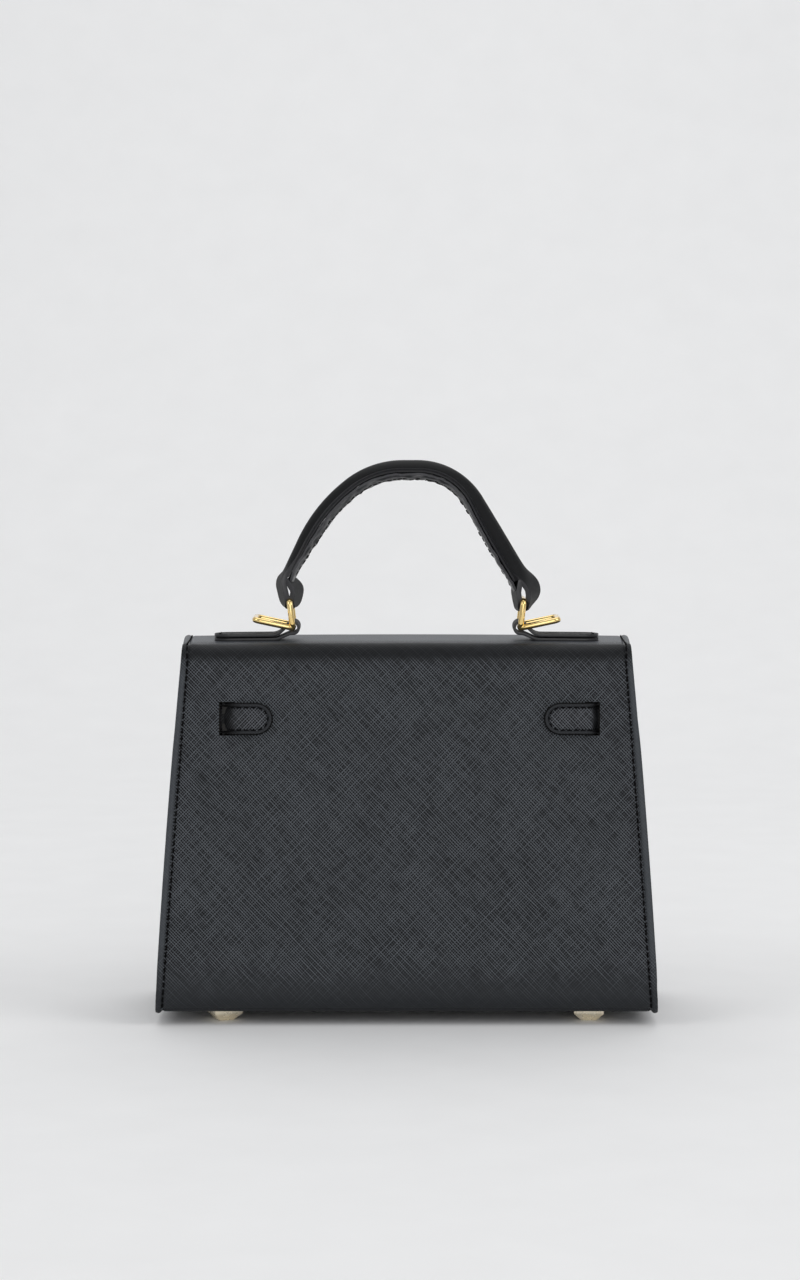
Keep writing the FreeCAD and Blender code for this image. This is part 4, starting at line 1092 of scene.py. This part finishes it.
tab_line = bend_line(
    [(-tab_end, tab_top), (-tab_meet, tab_top), (-RING_X - tab_hug / 3, CORNER_Z + tab_hug),
     (-RING_X + tab_hug, CORNER_Z + tab_hug), (-RING_X + tab_hug, CORNER_Z - tab_hug),
     (-RING_X - tab_hug / 3, CORNER_Z - tab_hug), (-tab_meet, TOP_Z), (-tab_end, TOP_Z)], TAB_RADII)
TAB_LENGTH = length_of(tab_line)


def tab_half(b):
    """Half width of a tab, with round corners at both ends."""
    short = max(TAB_TIP - min(b, TAB_LENGTH - b), 0)
    return STRAP_HALF - TAB_TIP + math.sqrt(max(TAB_TIP ** 2 - short ** 2, 0))


def tab_surface(side):
    def surface(v, b, height):
        place, heading = walk(tab_line, b)
        edge = min(tab_half(b) - abs(v), b)
        groove = TAB_GROOVE * bell(edge - TAB_SEAM_IN, TAB_GROOVE_WIDTH)
        out = left_of(heading) * (height - groove * ease(TAB_GROOVE_END, TAB_SEAM_END, b))
        x = place.x + out.x
        return Vector((-side * x, v, place.y + out.y - top_drop(x)))
    return surface


tab_tips = round_rows(TAB_TIP, 5, 7)
tab_rows = [b for b in marks(tab_line, TAB_ROW, TAB_BEND_ROW)
            if TAB_TIP + MM < b < TAB_LENGTH - TAB_TIP - MM]
tab_rows = tab_tips + tab_rows + [TAB_LENGTH - b for b in tab_tips[::-1]]
tab_seam = bend_line(
    [(-TAB_SEAM_HALF, TAB_SEAM_END), (-TAB_SEAM_HALF, TAB_SEAM_IN), (TAB_SEAM_HALF, TAB_SEAM_IN),
     (TAB_SEAM_HALF, TAB_SEAM_END)], [TAB_SEAM_CORNER] * 2)
for name, side in SIDES:
    surface = tab_surface(side)
    tab = lay_sheet(
        f"tab_strip_{name}", steps(-STRAP_HALF, STRAP_HALF, 30), tab_rows, surface, TAB_LEATHER, calf,
        burnished_edge_with_painted_highlight, fit=lambda a, b: a * tab_half(b) / STRAP_HALF, flat=lengthwise, soft=TAB_EDGE)
    wear(tab, "flap", "black_leather", f"handle_tab_{name}")
    stitches = sew(f"tab_stitches_{name}", surface, [tab_seam], sunk=TAB_SUNK, pitch=TAB_STITCH)
    wear(stitches, "flap", "black_leather")

# %% [markdown]
# ## Rings
# Each ring is bent from round wire into an L: an upright loop for the handle and a raised side loop for a
# shoulder strap, with one corner bar between them. A plane loses its face, its corners are bevelled round,
# and the outline becomes a curve with a round section, which is the quickest way to bent wire.

# %% Rings
WIRE = 1.5 * MM
RING_HALF = 17.6 * MM / 2 + WIRE
RING_RISE = 13.6 * MM
RING_SIDE = 19.3 * MM
RING_LEAN = math.radians(6.5)
RING_LIFT = math.radians(12)
RING_CORNER = 2.6 * MM


def wire_loop(length):
    """Loop of wire in the XY plane, from its corner bar at x = 0 to x = length."""
    loop = add_piece(bpy.ops.mesh.primitive_plane_add, size=1, location=(length / 2, 0, 0))
    loop.scale = (length, 2 * RING_HALF, 1)
    settle(loop)
    in_edit_mode(
        loop, lambda: bpy.ops.mesh.delete(type="ONLY_FACE"), lambda: bpy.ops.mesh.select_all(action="SELECT"),
        lambda: bpy.ops.mesh.bevel(offset=RING_CORNER, segments=5, affect="VERTICES"))
    select_only(loop)
    bpy.ops.object.convert(target="CURVE")
    loop.data.bevel_depth = WIRE
    loop.data.bevel_resolution = 4
    bpy.ops.object.convert(target="MESH")
    return loop


for name, side in SIDES:
    upright = wire_loop(RING_RISE)
    upright.rotation_euler = (0, side * RING_LEAN - math.pi / 2, 0)
    raised = wire_loop(RING_SIDE)
    raised.rotation_euler = (0, -RING_LIFT if side > 0 else RING_LIFT - math.pi, 0)
    for loop in (upright, raised):
        loop.location = (side * RING_X, 0, CORNER_Z)
        settle(loop)
    select_only(upright)
    raised.select_set(True)
    bpy.ops.object.join()
    upright.name = f"ring_wire_{name}"
    in_edit_mode(upright, lambda: bpy.ops.mesh.normals_make_consistent(inside=False))
    upright.data.materials.append(gold)
    smooth(upright)
    wear(upright, f"ring_{name}", "gold_metal", f"ring_{name}")

# %% [markdown]
# ## Handle
# The handle is sewn from two cupped strips with a filler between them. The outer one is longer: at each end
# it narrows, runs round the ring and folds back up inside, like a leaf. Both strips are cupped, so that from
# the side each shows a rounded band, with the light raw edge of the inner one in the groove between them. The
# right leg is twisted a little and turns its outer face to the back of the bag.

# %% Handle: its line
HANDLE_THICK = 10.0 * MM
CROWN_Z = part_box("handle_cover")[1].z
# Corners of the outer strip's line in millimetres, from its tail in the left loop to that in the right
loop_left = [(-58.6, 221), (-53.6, 214.7), (-55.6, 204.6), (-61.9, 204.6)]
arch = [(-65.0, 218.0), (-47.0, 256.2), (-18.7, CROWN_Z / MM), (27.2, CROWN_Z / MM), (66.4, 213.5)]
loop_right = [(61.4, 203.4), (55.6, 203.2), (54.0, 213), (55.0, 220)]
LOOP_RADII = [5, 2.3, 2.3, 8]
ARCH_RADII = [82, 47, 38]
cover_line = bend_line(
    [(x * MM, z * MM) for x, z in loop_left + arch + loop_right],
    [radius * MM for radius in LOOP_RADII + ARCH_RADII + LOOP_RADII[::-1]])
COVER_LENGTH = length_of(cover_line)
ring_left_at = length_of(cover_line[:4]) + cover_line[4][2] / 2
ring_right_at = COVER_LENGTH - length_of(cover_line[-4:]) - cover_line[-5][2] / 2
leg_start = length_of(cover_line[:8])
leg_end = COVER_LENGTH - length_of(cover_line[-8:])
print("handle strip is", round(COVER_LENGTH / MM), "mm long")

# %% Handle: its width, cup and twist
RING_FIT, LEAF_WIDER, LEG_NARROWER = 5.0 * MM, 3.8 * MM, 0.9 * MM
# Distances from the ring over which the strip widens, narrows again and turns cupped
WIDER_AT, NARROWER_AT, CUPPED_AT = (0, 9 * MM), (16 * MM, 32 * MM), (17 * MM, 32 * MM)
COVER_CUP = 3.7 * MM
CUP_ROUNDNESS = 2.2
SQUEEZED, SQUEEZED_AT = 0.7, (0, 32 * MM)
LEFT_TWIST, RIGHT_TWIST = math.radians(13), math.radians(20)
LEFT_TWIST_IN, LEFT_TWIST_OUT = (1 * MM, 6 * MM), (28 * MM, 12 * MM)
RIGHT_TWIST_IN = (95 * MM, 45 * MM)
# Share of the right leg's twist that is left at its ring, and where it eases off
TWIST_AT_RING, TWIST_EASES = 0.35, (2 * MM, 14 * MM)


def from_ring(s):
    """Distance along the strip from the lowest point of the nearer loop."""
    return min(abs(s - ring_left_at), abs(ring_right_at - s))


def cover_half(s):
    """Half width of the outer strip: narrow at the ring, widest in the leaf, a little less on the legs."""
    away = from_ring(s)
    return RING_FIT + LEAF_WIDER * ease(*WIDER_AT, away) - LEG_NARROWER * ease(*NARROWER_AT, away)


def squeeze(s):
    """Share of the full depth: the left leg is pressed thinner towards its ring."""
    return SQUEEZED + (1 - SQUEEZED) * ease(*SQUEEZED_AT, s - leg_start)


def cover_cup(s):
    return COVER_CUP * squeeze(s) * ease(*CUPPED_AT, from_ring(s))


def twist(s):
    """Turn of the section about its line: a short one at the left ring, a long one in the right leg."""
    away = abs(s - ring_left_at)
    left = LEFT_TWIST * ease(*LEFT_TWIST_IN, away) * ease(*LEFT_TWIST_OUT, away)
    away = ring_right_at - s
    near = TWIST_AT_RING + (1 - TWIST_AT_RING) * ease(*TWIST_EASES, away)
    return left + RIGHT_TWIST * ease(*RIGHT_TWIST_IN, away) * near


def handle_place(s, across, depth):
    """Place at a distance along the outer line, across the handle, and at a depth below the line."""
    place, heading = walk(cover_line, s)
    turn = twist(s)
    middle = -HANDLE_THICK / 2
    y = across * math.cos(turn) - (depth - middle) * math.sin(turn)
    rise = middle + across * math.sin(turn) + (depth - middle) * math.cos(turn)
    out = left_of(heading) * rise
    return Vector((place.x + out.x, y, place.y + out.y))


print("the right leg turns by", round(math.degrees(twist(leg_end))), "degrees")

# %% Handle: outer strip
COVER_LEATHER = 2.5 * MM
STRIP_EDGE = 0.4 * MM
COVER_ROW, COVER_BEND_ROW = 2.0 * MM, 1.0 * MM


def cover_surface(share, s, height):
    across = share * cover_half(s)
    return handle_place(s, across, height - cover_cup(s) * abs(share) ** CUP_ROUNDNESS)


cover = lay_sheet(
    "handle_strip", steps(-1, 1, 24), marks(cover_line, COVER_ROW, COVER_BEND_ROW), cover_surface,
    COVER_LEATHER, calf, burnished_edge_with_painted_highlight, flat=lambda share, s: (s, share * cover_half(s)), soft=STRIP_EDGE)
wear(cover, "handle", "black_leather", "handle_cover")

# %% Handle: filler
CORE_HALF = 7.6 * MM
CORE_ENDS = (leg_start + 6 * MM, leg_end - 6 * MM)
CORE_TOP, CORE_CUP, CORE_THICK = 1.6 * MM, 3.9 * MM, 1.4 * MM


def filler_surface(share, s, height):
    depth = squeeze(s) * (CORE_TOP + CORE_CUP * abs(share) ** CUP_ROUNDNESS)
    return handle_place(s, share * CORE_HALF, height - depth)


core = lay_sheet(
    "handle_filler_strip", steps(-1, 1, 16), steps(*CORE_ENDS, 90), filler_surface,
    CORE_THICK, filler, edge_paint, flat=lambda share, s: (s, share * CORE_HALF), soft=STRIP_EDGE)
wear(core, "handle", "handle_filler", "handle_core")

# %% Handle: inner strip
INNER_HALF = 7.9 * MM
INNER_CUP = 2.5 * MM
INNER_LEATHER = 1.3 * MM
INNER_ENDS = (leg_start + 1 * MM, leg_end - 2 * MM)
INNER_SEAMS = (-0.5, 0.5)
INNER_SEAM_ENDS = (leg_start + 4 * MM, leg_end - 5 * MM)
INNER_SUNK, INNER_STITCH = 0.5 * MM, 3.2 * MM
WAVER, WAVER_LENGTH = 0.7 * MM, 4 * MM


def inner_surface(share, s, height):
    """Inner strip; its hand-cut edge wavers."""
    waver = WAVER * noise.noise(Vector((s / WAVER_LENGTH, 3 * share, 0)))
    depth = squeeze(s) * (HANDLE_THICK - INNER_CUP * abs(share) ** CUP_ROUNDNESS - waver)
    return handle_place(s, share * INNER_HALF, -depth - height)


inner = lay_sheet(
    "handle_inner_strip", steps(-1, 1, 18), steps(*INNER_ENDS, 160), inner_surface,
    INNER_LEATHER, burnished_edge_with_painted_highlight, raw_edge, flat=lambda share, s: (s, share * INNER_HALF), soft=0)
wear(inner, "handle", "black_leather", "handle_underside")
inner_seams = [straight_runs([(share, s) for s in INNER_SEAM_ENDS]) for share in INNER_SEAMS]
handle_stitches = sew("handle_stitches", inner_surface, inner_seams, sunk=INNER_SUNK, pitch=INNER_STITCH)
wear(handle_stitches, "handle", "black_leather")

# %% [markdown]
# ## Feet
# Four small pyramids of the same metal, cast with a flat band above and a flat tip below. The lower face of a
# flat block is pushed down and shrinks, the slopes get a soft bevel for the light to catch, and each foot
# stands where its solid stands. The real ones are pushed in by hand, so each is turned a little, one of them
# more.

# %% Feet
FOOT_TURN = {"rear_left": 23, "rear_right": -3, "front_left": 2, "front_right": -5}
FOOT_SIDE, FOOT_TIP, FOOT_BAND = 15 * MM, 7.5 * MM, 2.2 * MM
FOOT_EDGE = 0.35 * MM
shrink = FOOT_TIP / FOOT_SIDE
for name, turn in FOOT_TURN.items():
    low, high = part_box(f"foot_{name}")
    middle = (low + high) / 2
    drop = (0, 0, FOOT_BAND - FLOOR_Z)
    foot = add_piece(
        bpy.ops.mesh.primitive_cube_add, size=1, location=(middle.x, middle.y, FLOOR_Z - FOOT_BAND / 2))
    foot.name = f"stud_{name}"
    foot.scale = (FOOT_SIDE, FOOT_SIDE, FOOT_BAND)
    foot.rotation_euler.z = math.radians(turn)
    settle(foot)
    on_chosen(
        foot, "polygons", lambda face: face.normal.z < -0.5,
        lambda: bpy.ops.mesh.extrude_region_move(TRANSFORM_OT_translate={"value": drop}),
        lambda: bpy.ops.transform.resize(value=(shrink, shrink, 1), center_override=(middle.x, middle.y, 0)))
    modify(foot, "BEVEL", width=FOOT_EDGE, segments=3, limit_method="ANGLE")
    foot.data.materials.append(film_gold_with_painted_light)
    smooth(foot)
    wear(foot, "bag_body", "gold_metal", f"foot_{name}")

# %% [markdown]
# ## Lock and catch
# The belt meets under a plate with round corners, and a small bar turns on it. Both are cast and polished, so
# every edge is soft. They are cubes with their upright edges bevelled round, then all edges broken.

# %% Lock plate and bar
PLATE_SIZE, PLATE_CORNER, PLATE_EDGE = (38 * MM, 24 * MM, 1.6 * MM), 6 * MM, 0.45 * MM
BAR_SIZE, BAR_CORNER, BAR_EDGE = (21 * MM, 6 * MM, 3.2 * MM), 2.85 * MM, 1.0 * MM
PLATE_ROOM, BAR_ROOM = 0.2 * MM, 0.1 * MM
on_belt = strap_frame("belt_left", 1)


def cast_block(name, size, round_corner, soft, low):
    """Polished block on the belt; size is along X, up the wall and away from it, from a height on."""
    block = add_piece(bpy.ops.mesh.primitive_cube_add, size=1)
    block.name = name
    block.scale = size
    settle(block)

    def upright(edge):
        start, end = (block.data.vertices[i].co for i in edge.vertices)
        return abs(start.z - end.z) > size[2] / 2

    on_chosen(
        block, "edges", upright,
        lambda: bpy.ops.mesh.bevel(offset=round_corner, segments=8, affect="EDGES"))
    modify(block, "BEVEL", width=soft, segments=3, limit_method="ANGLE", angle_limit=SHARP)
    for point in block.data.vertices:
        point.co = on_belt(point.co.x, point.co.y, low + size[2] / 2 + point.co.z)
    in_edit_mode(block, lambda: bpy.ops.mesh.normals_make_consistent(inside=False))
    block.data.materials.append(gold)
    smooth(block)
    return block


plate_low = STRAP_THICK + PLATE_ROOM
lock_plate = cast_block("lock_plate_cast", PLATE_SIZE, PLATE_CORNER, PLATE_EDGE, plate_low)
wear(lock_plate, "flap", "gold_metal", "lock_plate")
bar_low = plate_low + PLATE_SIZE[2] + BAR_ROOM
lock_bar = cast_block("lock_bar_cast", BAR_SIZE, BAR_CORNER, BAR_EDGE, bar_low)
wear(lock_bar, "lock_bar", "gold_metal", "lock_bar")

# %% [markdown]
# ## Lining
# Inside, a cloth bag hangs from the rim. It follows the folded gussets, so its sides crease inwards. It could
# be draped by a simulation, but the boards hold it almost flat. So one sheet is laid round the six sides of
# that shape and closed where its ends meet, and its cloth gets a thin wall. The floor is a cloth of its own,
# the flap has another, and a slip pocket is sewn to the back.

# %% Lining
CLOTH = 0.5 * MM
FLOOR_CLOTH = 0.6 * MM
FLOOR_LIFT = 0.8 * MM
MERGE = 0.02 * MM
BOARD = 1.2 * MM
WALL = LEATHER + BOARD
WALL_ROOM = 0.3 * MM
GUSSET_ROOM, GUSSET_ROOM_HIGH = 1.5 * MM, 1.2 * MM
lining_low, lining_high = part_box("lining")
lining_foot = lining_low.z + CLOTH


def lining_corners(z):
    rise = (z - lining_low.z) / (lining_high.z - lining_low.z)
    face = face_y(z) - WALL - WALL_ROOM
    side = half_width(z) - GUSSET_SEAM - 2 * LEATHER - GUSSET_ROOM - GUSSET_ROOM_HIGH * rise
    crease = side - PLEAT_START - PLEAT * rise
    corners = [(-side, -face), (side, -face), (crease, 0), (side, face), (-side, face), (-crease, 0)]
    return [Vector(corner) for corner in corners]


def lining_surface(turn, z, height):
    """Turn goes once round the six sides."""
    corners = lining_corners(z)
    first = int(turn) % 6
    start, end = corners[first], corners[(first + 1) % 6]
    place = start + (end - start) * (turn - int(turn))
    inward = Vector((start.y - end.y, end.x - start.x)).normalized() * height
    return Vector((place.x + inward.x, place.y + inward.y, z))


def lining_round(z):
    """Way round the lining at a height."""
    corners = lining_corners(z)
    return sum((end - start).length for start, end in zip(corners, corners[1:] + corners[:1]))


lining = lay_sheet(
    "lining_bag", steps(0, 6, 72), steps(lining_foot, lining_high.z, 12), lining_surface,
    CLOTH, lining_cloth, lining_cloth, soft=0)
in_edit_mode(lining, lambda: bpy.ops.mesh.remove_doubles(threshold=MERGE))
wear(lining, "bag_body", "lining_cloth", "lining")
lining_height = (lining_high.z - lining_low.z) / math.cos(LEAN)
lining_area = (lining_round(lining_low.z) + lining_round(lining_high.z)) / 2 * lining_height
lining_round(lining_low.z)

# %% Floor of the lining
floor_corners = lining_corners(lining_foot)
floor_half = Vector((floor_corners[1].x, floor_corners[3].y))
lining_floor = lay_sheet(
    "lining_floor", steps(-floor_half.x, floor_half.x, 12), steps(-floor_half.y, floor_half.y, 6),
    lambda x, y, height: Vector((x, y, lining_low.z + FLOOR_LIFT + height)), FLOOR_CLOTH, lining_cloth,
    lining_cloth, soft=0)
wear(lining_floor, "bag_body", "lining_cloth")

# %% Flap lining
FLAP_CLOTH = 0.75 * MM
FLAP_MARGIN = 1.7 * MM
lining_start = top_start + (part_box("flap_lining")[0].y - walk(hide_line, top_start)[0].x)


def flap_lining_surface(a, s, height):
    x = fit_column(a, hide_half(s) - LEATHER)
    return on_line(hide_line, x, s, height - LEATHER - LAYER_ROOM - top_sag(x, s))


flap_rows = [lining_start]
flap_rows += [s for s in hide_rows if lining_start + MM < s < HIDE_LENGTH - FLAP_MARGIN]
flap_lining = lay_sheet(
    "flap_lining_cloth", edge_columns(16), flap_rows, flap_lining_surface, FLAP_CLOTH, lining_cloth,
    lining_cloth, soft=0)
wear(flap_lining, "flap", "lining_cloth", "flap_lining")
flap_area = sum(
    (hide_half(a) + hide_half(b) - 2 * LEATHER) * (b - a) for a, b in zip(flap_rows, flap_rows[1:]))
flap_width = 2 * (max(hide_half(s) for s in flap_rows) - LEATHER)

# %% Slip pocket
POCKET_CLOTH, POCKET_EDGE = 0.8 * MM, 0.2 * MM
POCKET_ROOM = 0.9 * MM
POCKET_GAP, POCKET_BULGE = 0.6 * MM, 1.6 * MM
pocket_low, pocket_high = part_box("slip_pocket")
POCKET_HALF = pocket_high.x


def pocket_surface(x, z, height):
    """Sewn down at its foot and sides, and standing off at its open top."""
    rise = (z - pocket_low.z) / (pocket_high.z - pocket_low.z)
    gap = POCKET_GAP + POCKET_BULGE * ease(0, 0.5, rise) * (1 - (x / POCKET_HALF) ** 4)
    return Vector((x, -face_y(z) + WALL + POCKET_ROOM + gap + height, z))


pocket = lay_sheet(
    "pocket_cloth", steps(-POCKET_HALF, POCKET_HALF, 24), steps(pocket_low.z, pocket_high.z, 16),
    pocket_surface, POCKET_CLOTH, lining_cloth, lining_cloth, soft=POCKET_EDGE)
wear(pocket, "bag_body", "lining_cloth", "slip_pocket")

# %% [markdown]
# ## Solids that stay
# Boards, washers, magnets and the plate behind the lock are right as they are. They sit inside the bag or
# show only when it is open, and take the material of the real thing.

# %% Solids that stay
STAYING = {
    "rear_board": fibre_board, "front_board": fibre_board, "base_board": fibre_board, "foot_washers": gold,
    "magnet_front": steel, "magnet_flap": steel, "lock_back_plate": steel}
for name, material in STAYING.items():
    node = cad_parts[name]
    node.data.materials.clear()
    node.data.materials.append(material)
print("solids that stay:", len(STAYING))

# %% [markdown]
# ## Studio
# The bag stands on pale seamless paper that curves up behind it. A wide soft lamp hangs above and behind, so
# the bag's shadow falls towards the camera, windows in front and at the sides draw its form, and the room
# fills in. The lamps are set so that white paper comes out almost white, and nothing else has to lighten it.
# Only beyond the paper's edge the camera sees a paler room than the one that lights the bag.

# %% Paper
PAPER_WIDTH = 5.0
PAPER_BACK = 1.9
PAPER_HEIGHT = 3.2
PAPER_CURVE = 1.1
NEAR = 0.01
paper = add_piece(
    bpy.ops.mesh.primitive_plane_add, size=PAPER_WIDTH, location=(0, PAPER_BACK - PAPER_WIDTH / 2, 0))
paper.name = "seamless_paper"
settle(paper)


def on_fold(edge):
    """Whether an edge of the paper lies on the floor at its back."""
    ends = [paper.data.vertices[i].co for i in edge.vertices]
    return all(end.y > PAPER_BACK - NEAR and end.z < NEAR for end in ends)


on_chosen(
    paper, "edges", on_fold,
    lambda: bpy.ops.mesh.extrude_region_move(TRANSFORM_OT_translate={"value": (0, 0, PAPER_HEIGHT)}))
on_chosen(
    paper, "edges", on_fold,
    lambda: bpy.ops.mesh.bevel(offset=PAPER_CURVE, segments=16, affect="EDGES"))
paper_finish = speckled("seamless_paper", "#f0f0f0", "#f5f5f5", 40 * MM, (0.85, 0.95), 0.0)
paper.data.materials.append(paper_finish)
smooth(paper)
print("paper has", len(paper.data.polygons), "faces")

# %% Lamps and room
LAMP_AIM = Vector((0, 0, 0.1))
# Place, width and power of each lamp
LAMPS = {
    "top_window": ((0, 0.8, 2.0), 2.0, 10),
    "left_window": ((-1.9, -1.0, 1.6), 1.5, 7.5),
    "right_window": ((1.9, -0.8, 1.6), 1.5, 11.5),
    "front_window": ((0.3, -2.4, 0.9), 1.8, 11)}
ROOM_LIGHT, ROOM_SEEN = 0.54, 0.8
for name, (place, size, power) in LAMPS.items():
    lamp = bpy.data.lights.new(name, "AREA")
    lamp.shape = "DISK"
    lamp.size = size
    lamp.energy = power
    holder = bpy.data.objects.new(name, lamp)
    bpy.context.scene.collection.objects.link(holder)
    holder.location = place
    holder.rotation_euler = (LAMP_AIM - Vector(place)).to_track_quat("-Z", "Y").to_euler()
world = bpy.data.worlds.new("room")
bpy.context.scene.world = world
world.use_nodes = True
background = world.node_tree.nodes["Background"]
background.inputs["Color"].default_value = colour("#f7f8fa")
rays = add_node(world.node_tree, "LightPath", {}, {})
room = add_node(world.node_tree, "MapRange", {}, {
    "Value": rays.outputs["Is Camera Ray"], "To Min": ROOM_LIGHT, "To Max": ROOM_SEEN})
world.node_tree.links.new(room.outputs["Result"], background.inputs["Strength"])
bpy.context.scene.view_settings.view_transform = "Standard"
print("lamps:", len(bpy.data.lights))
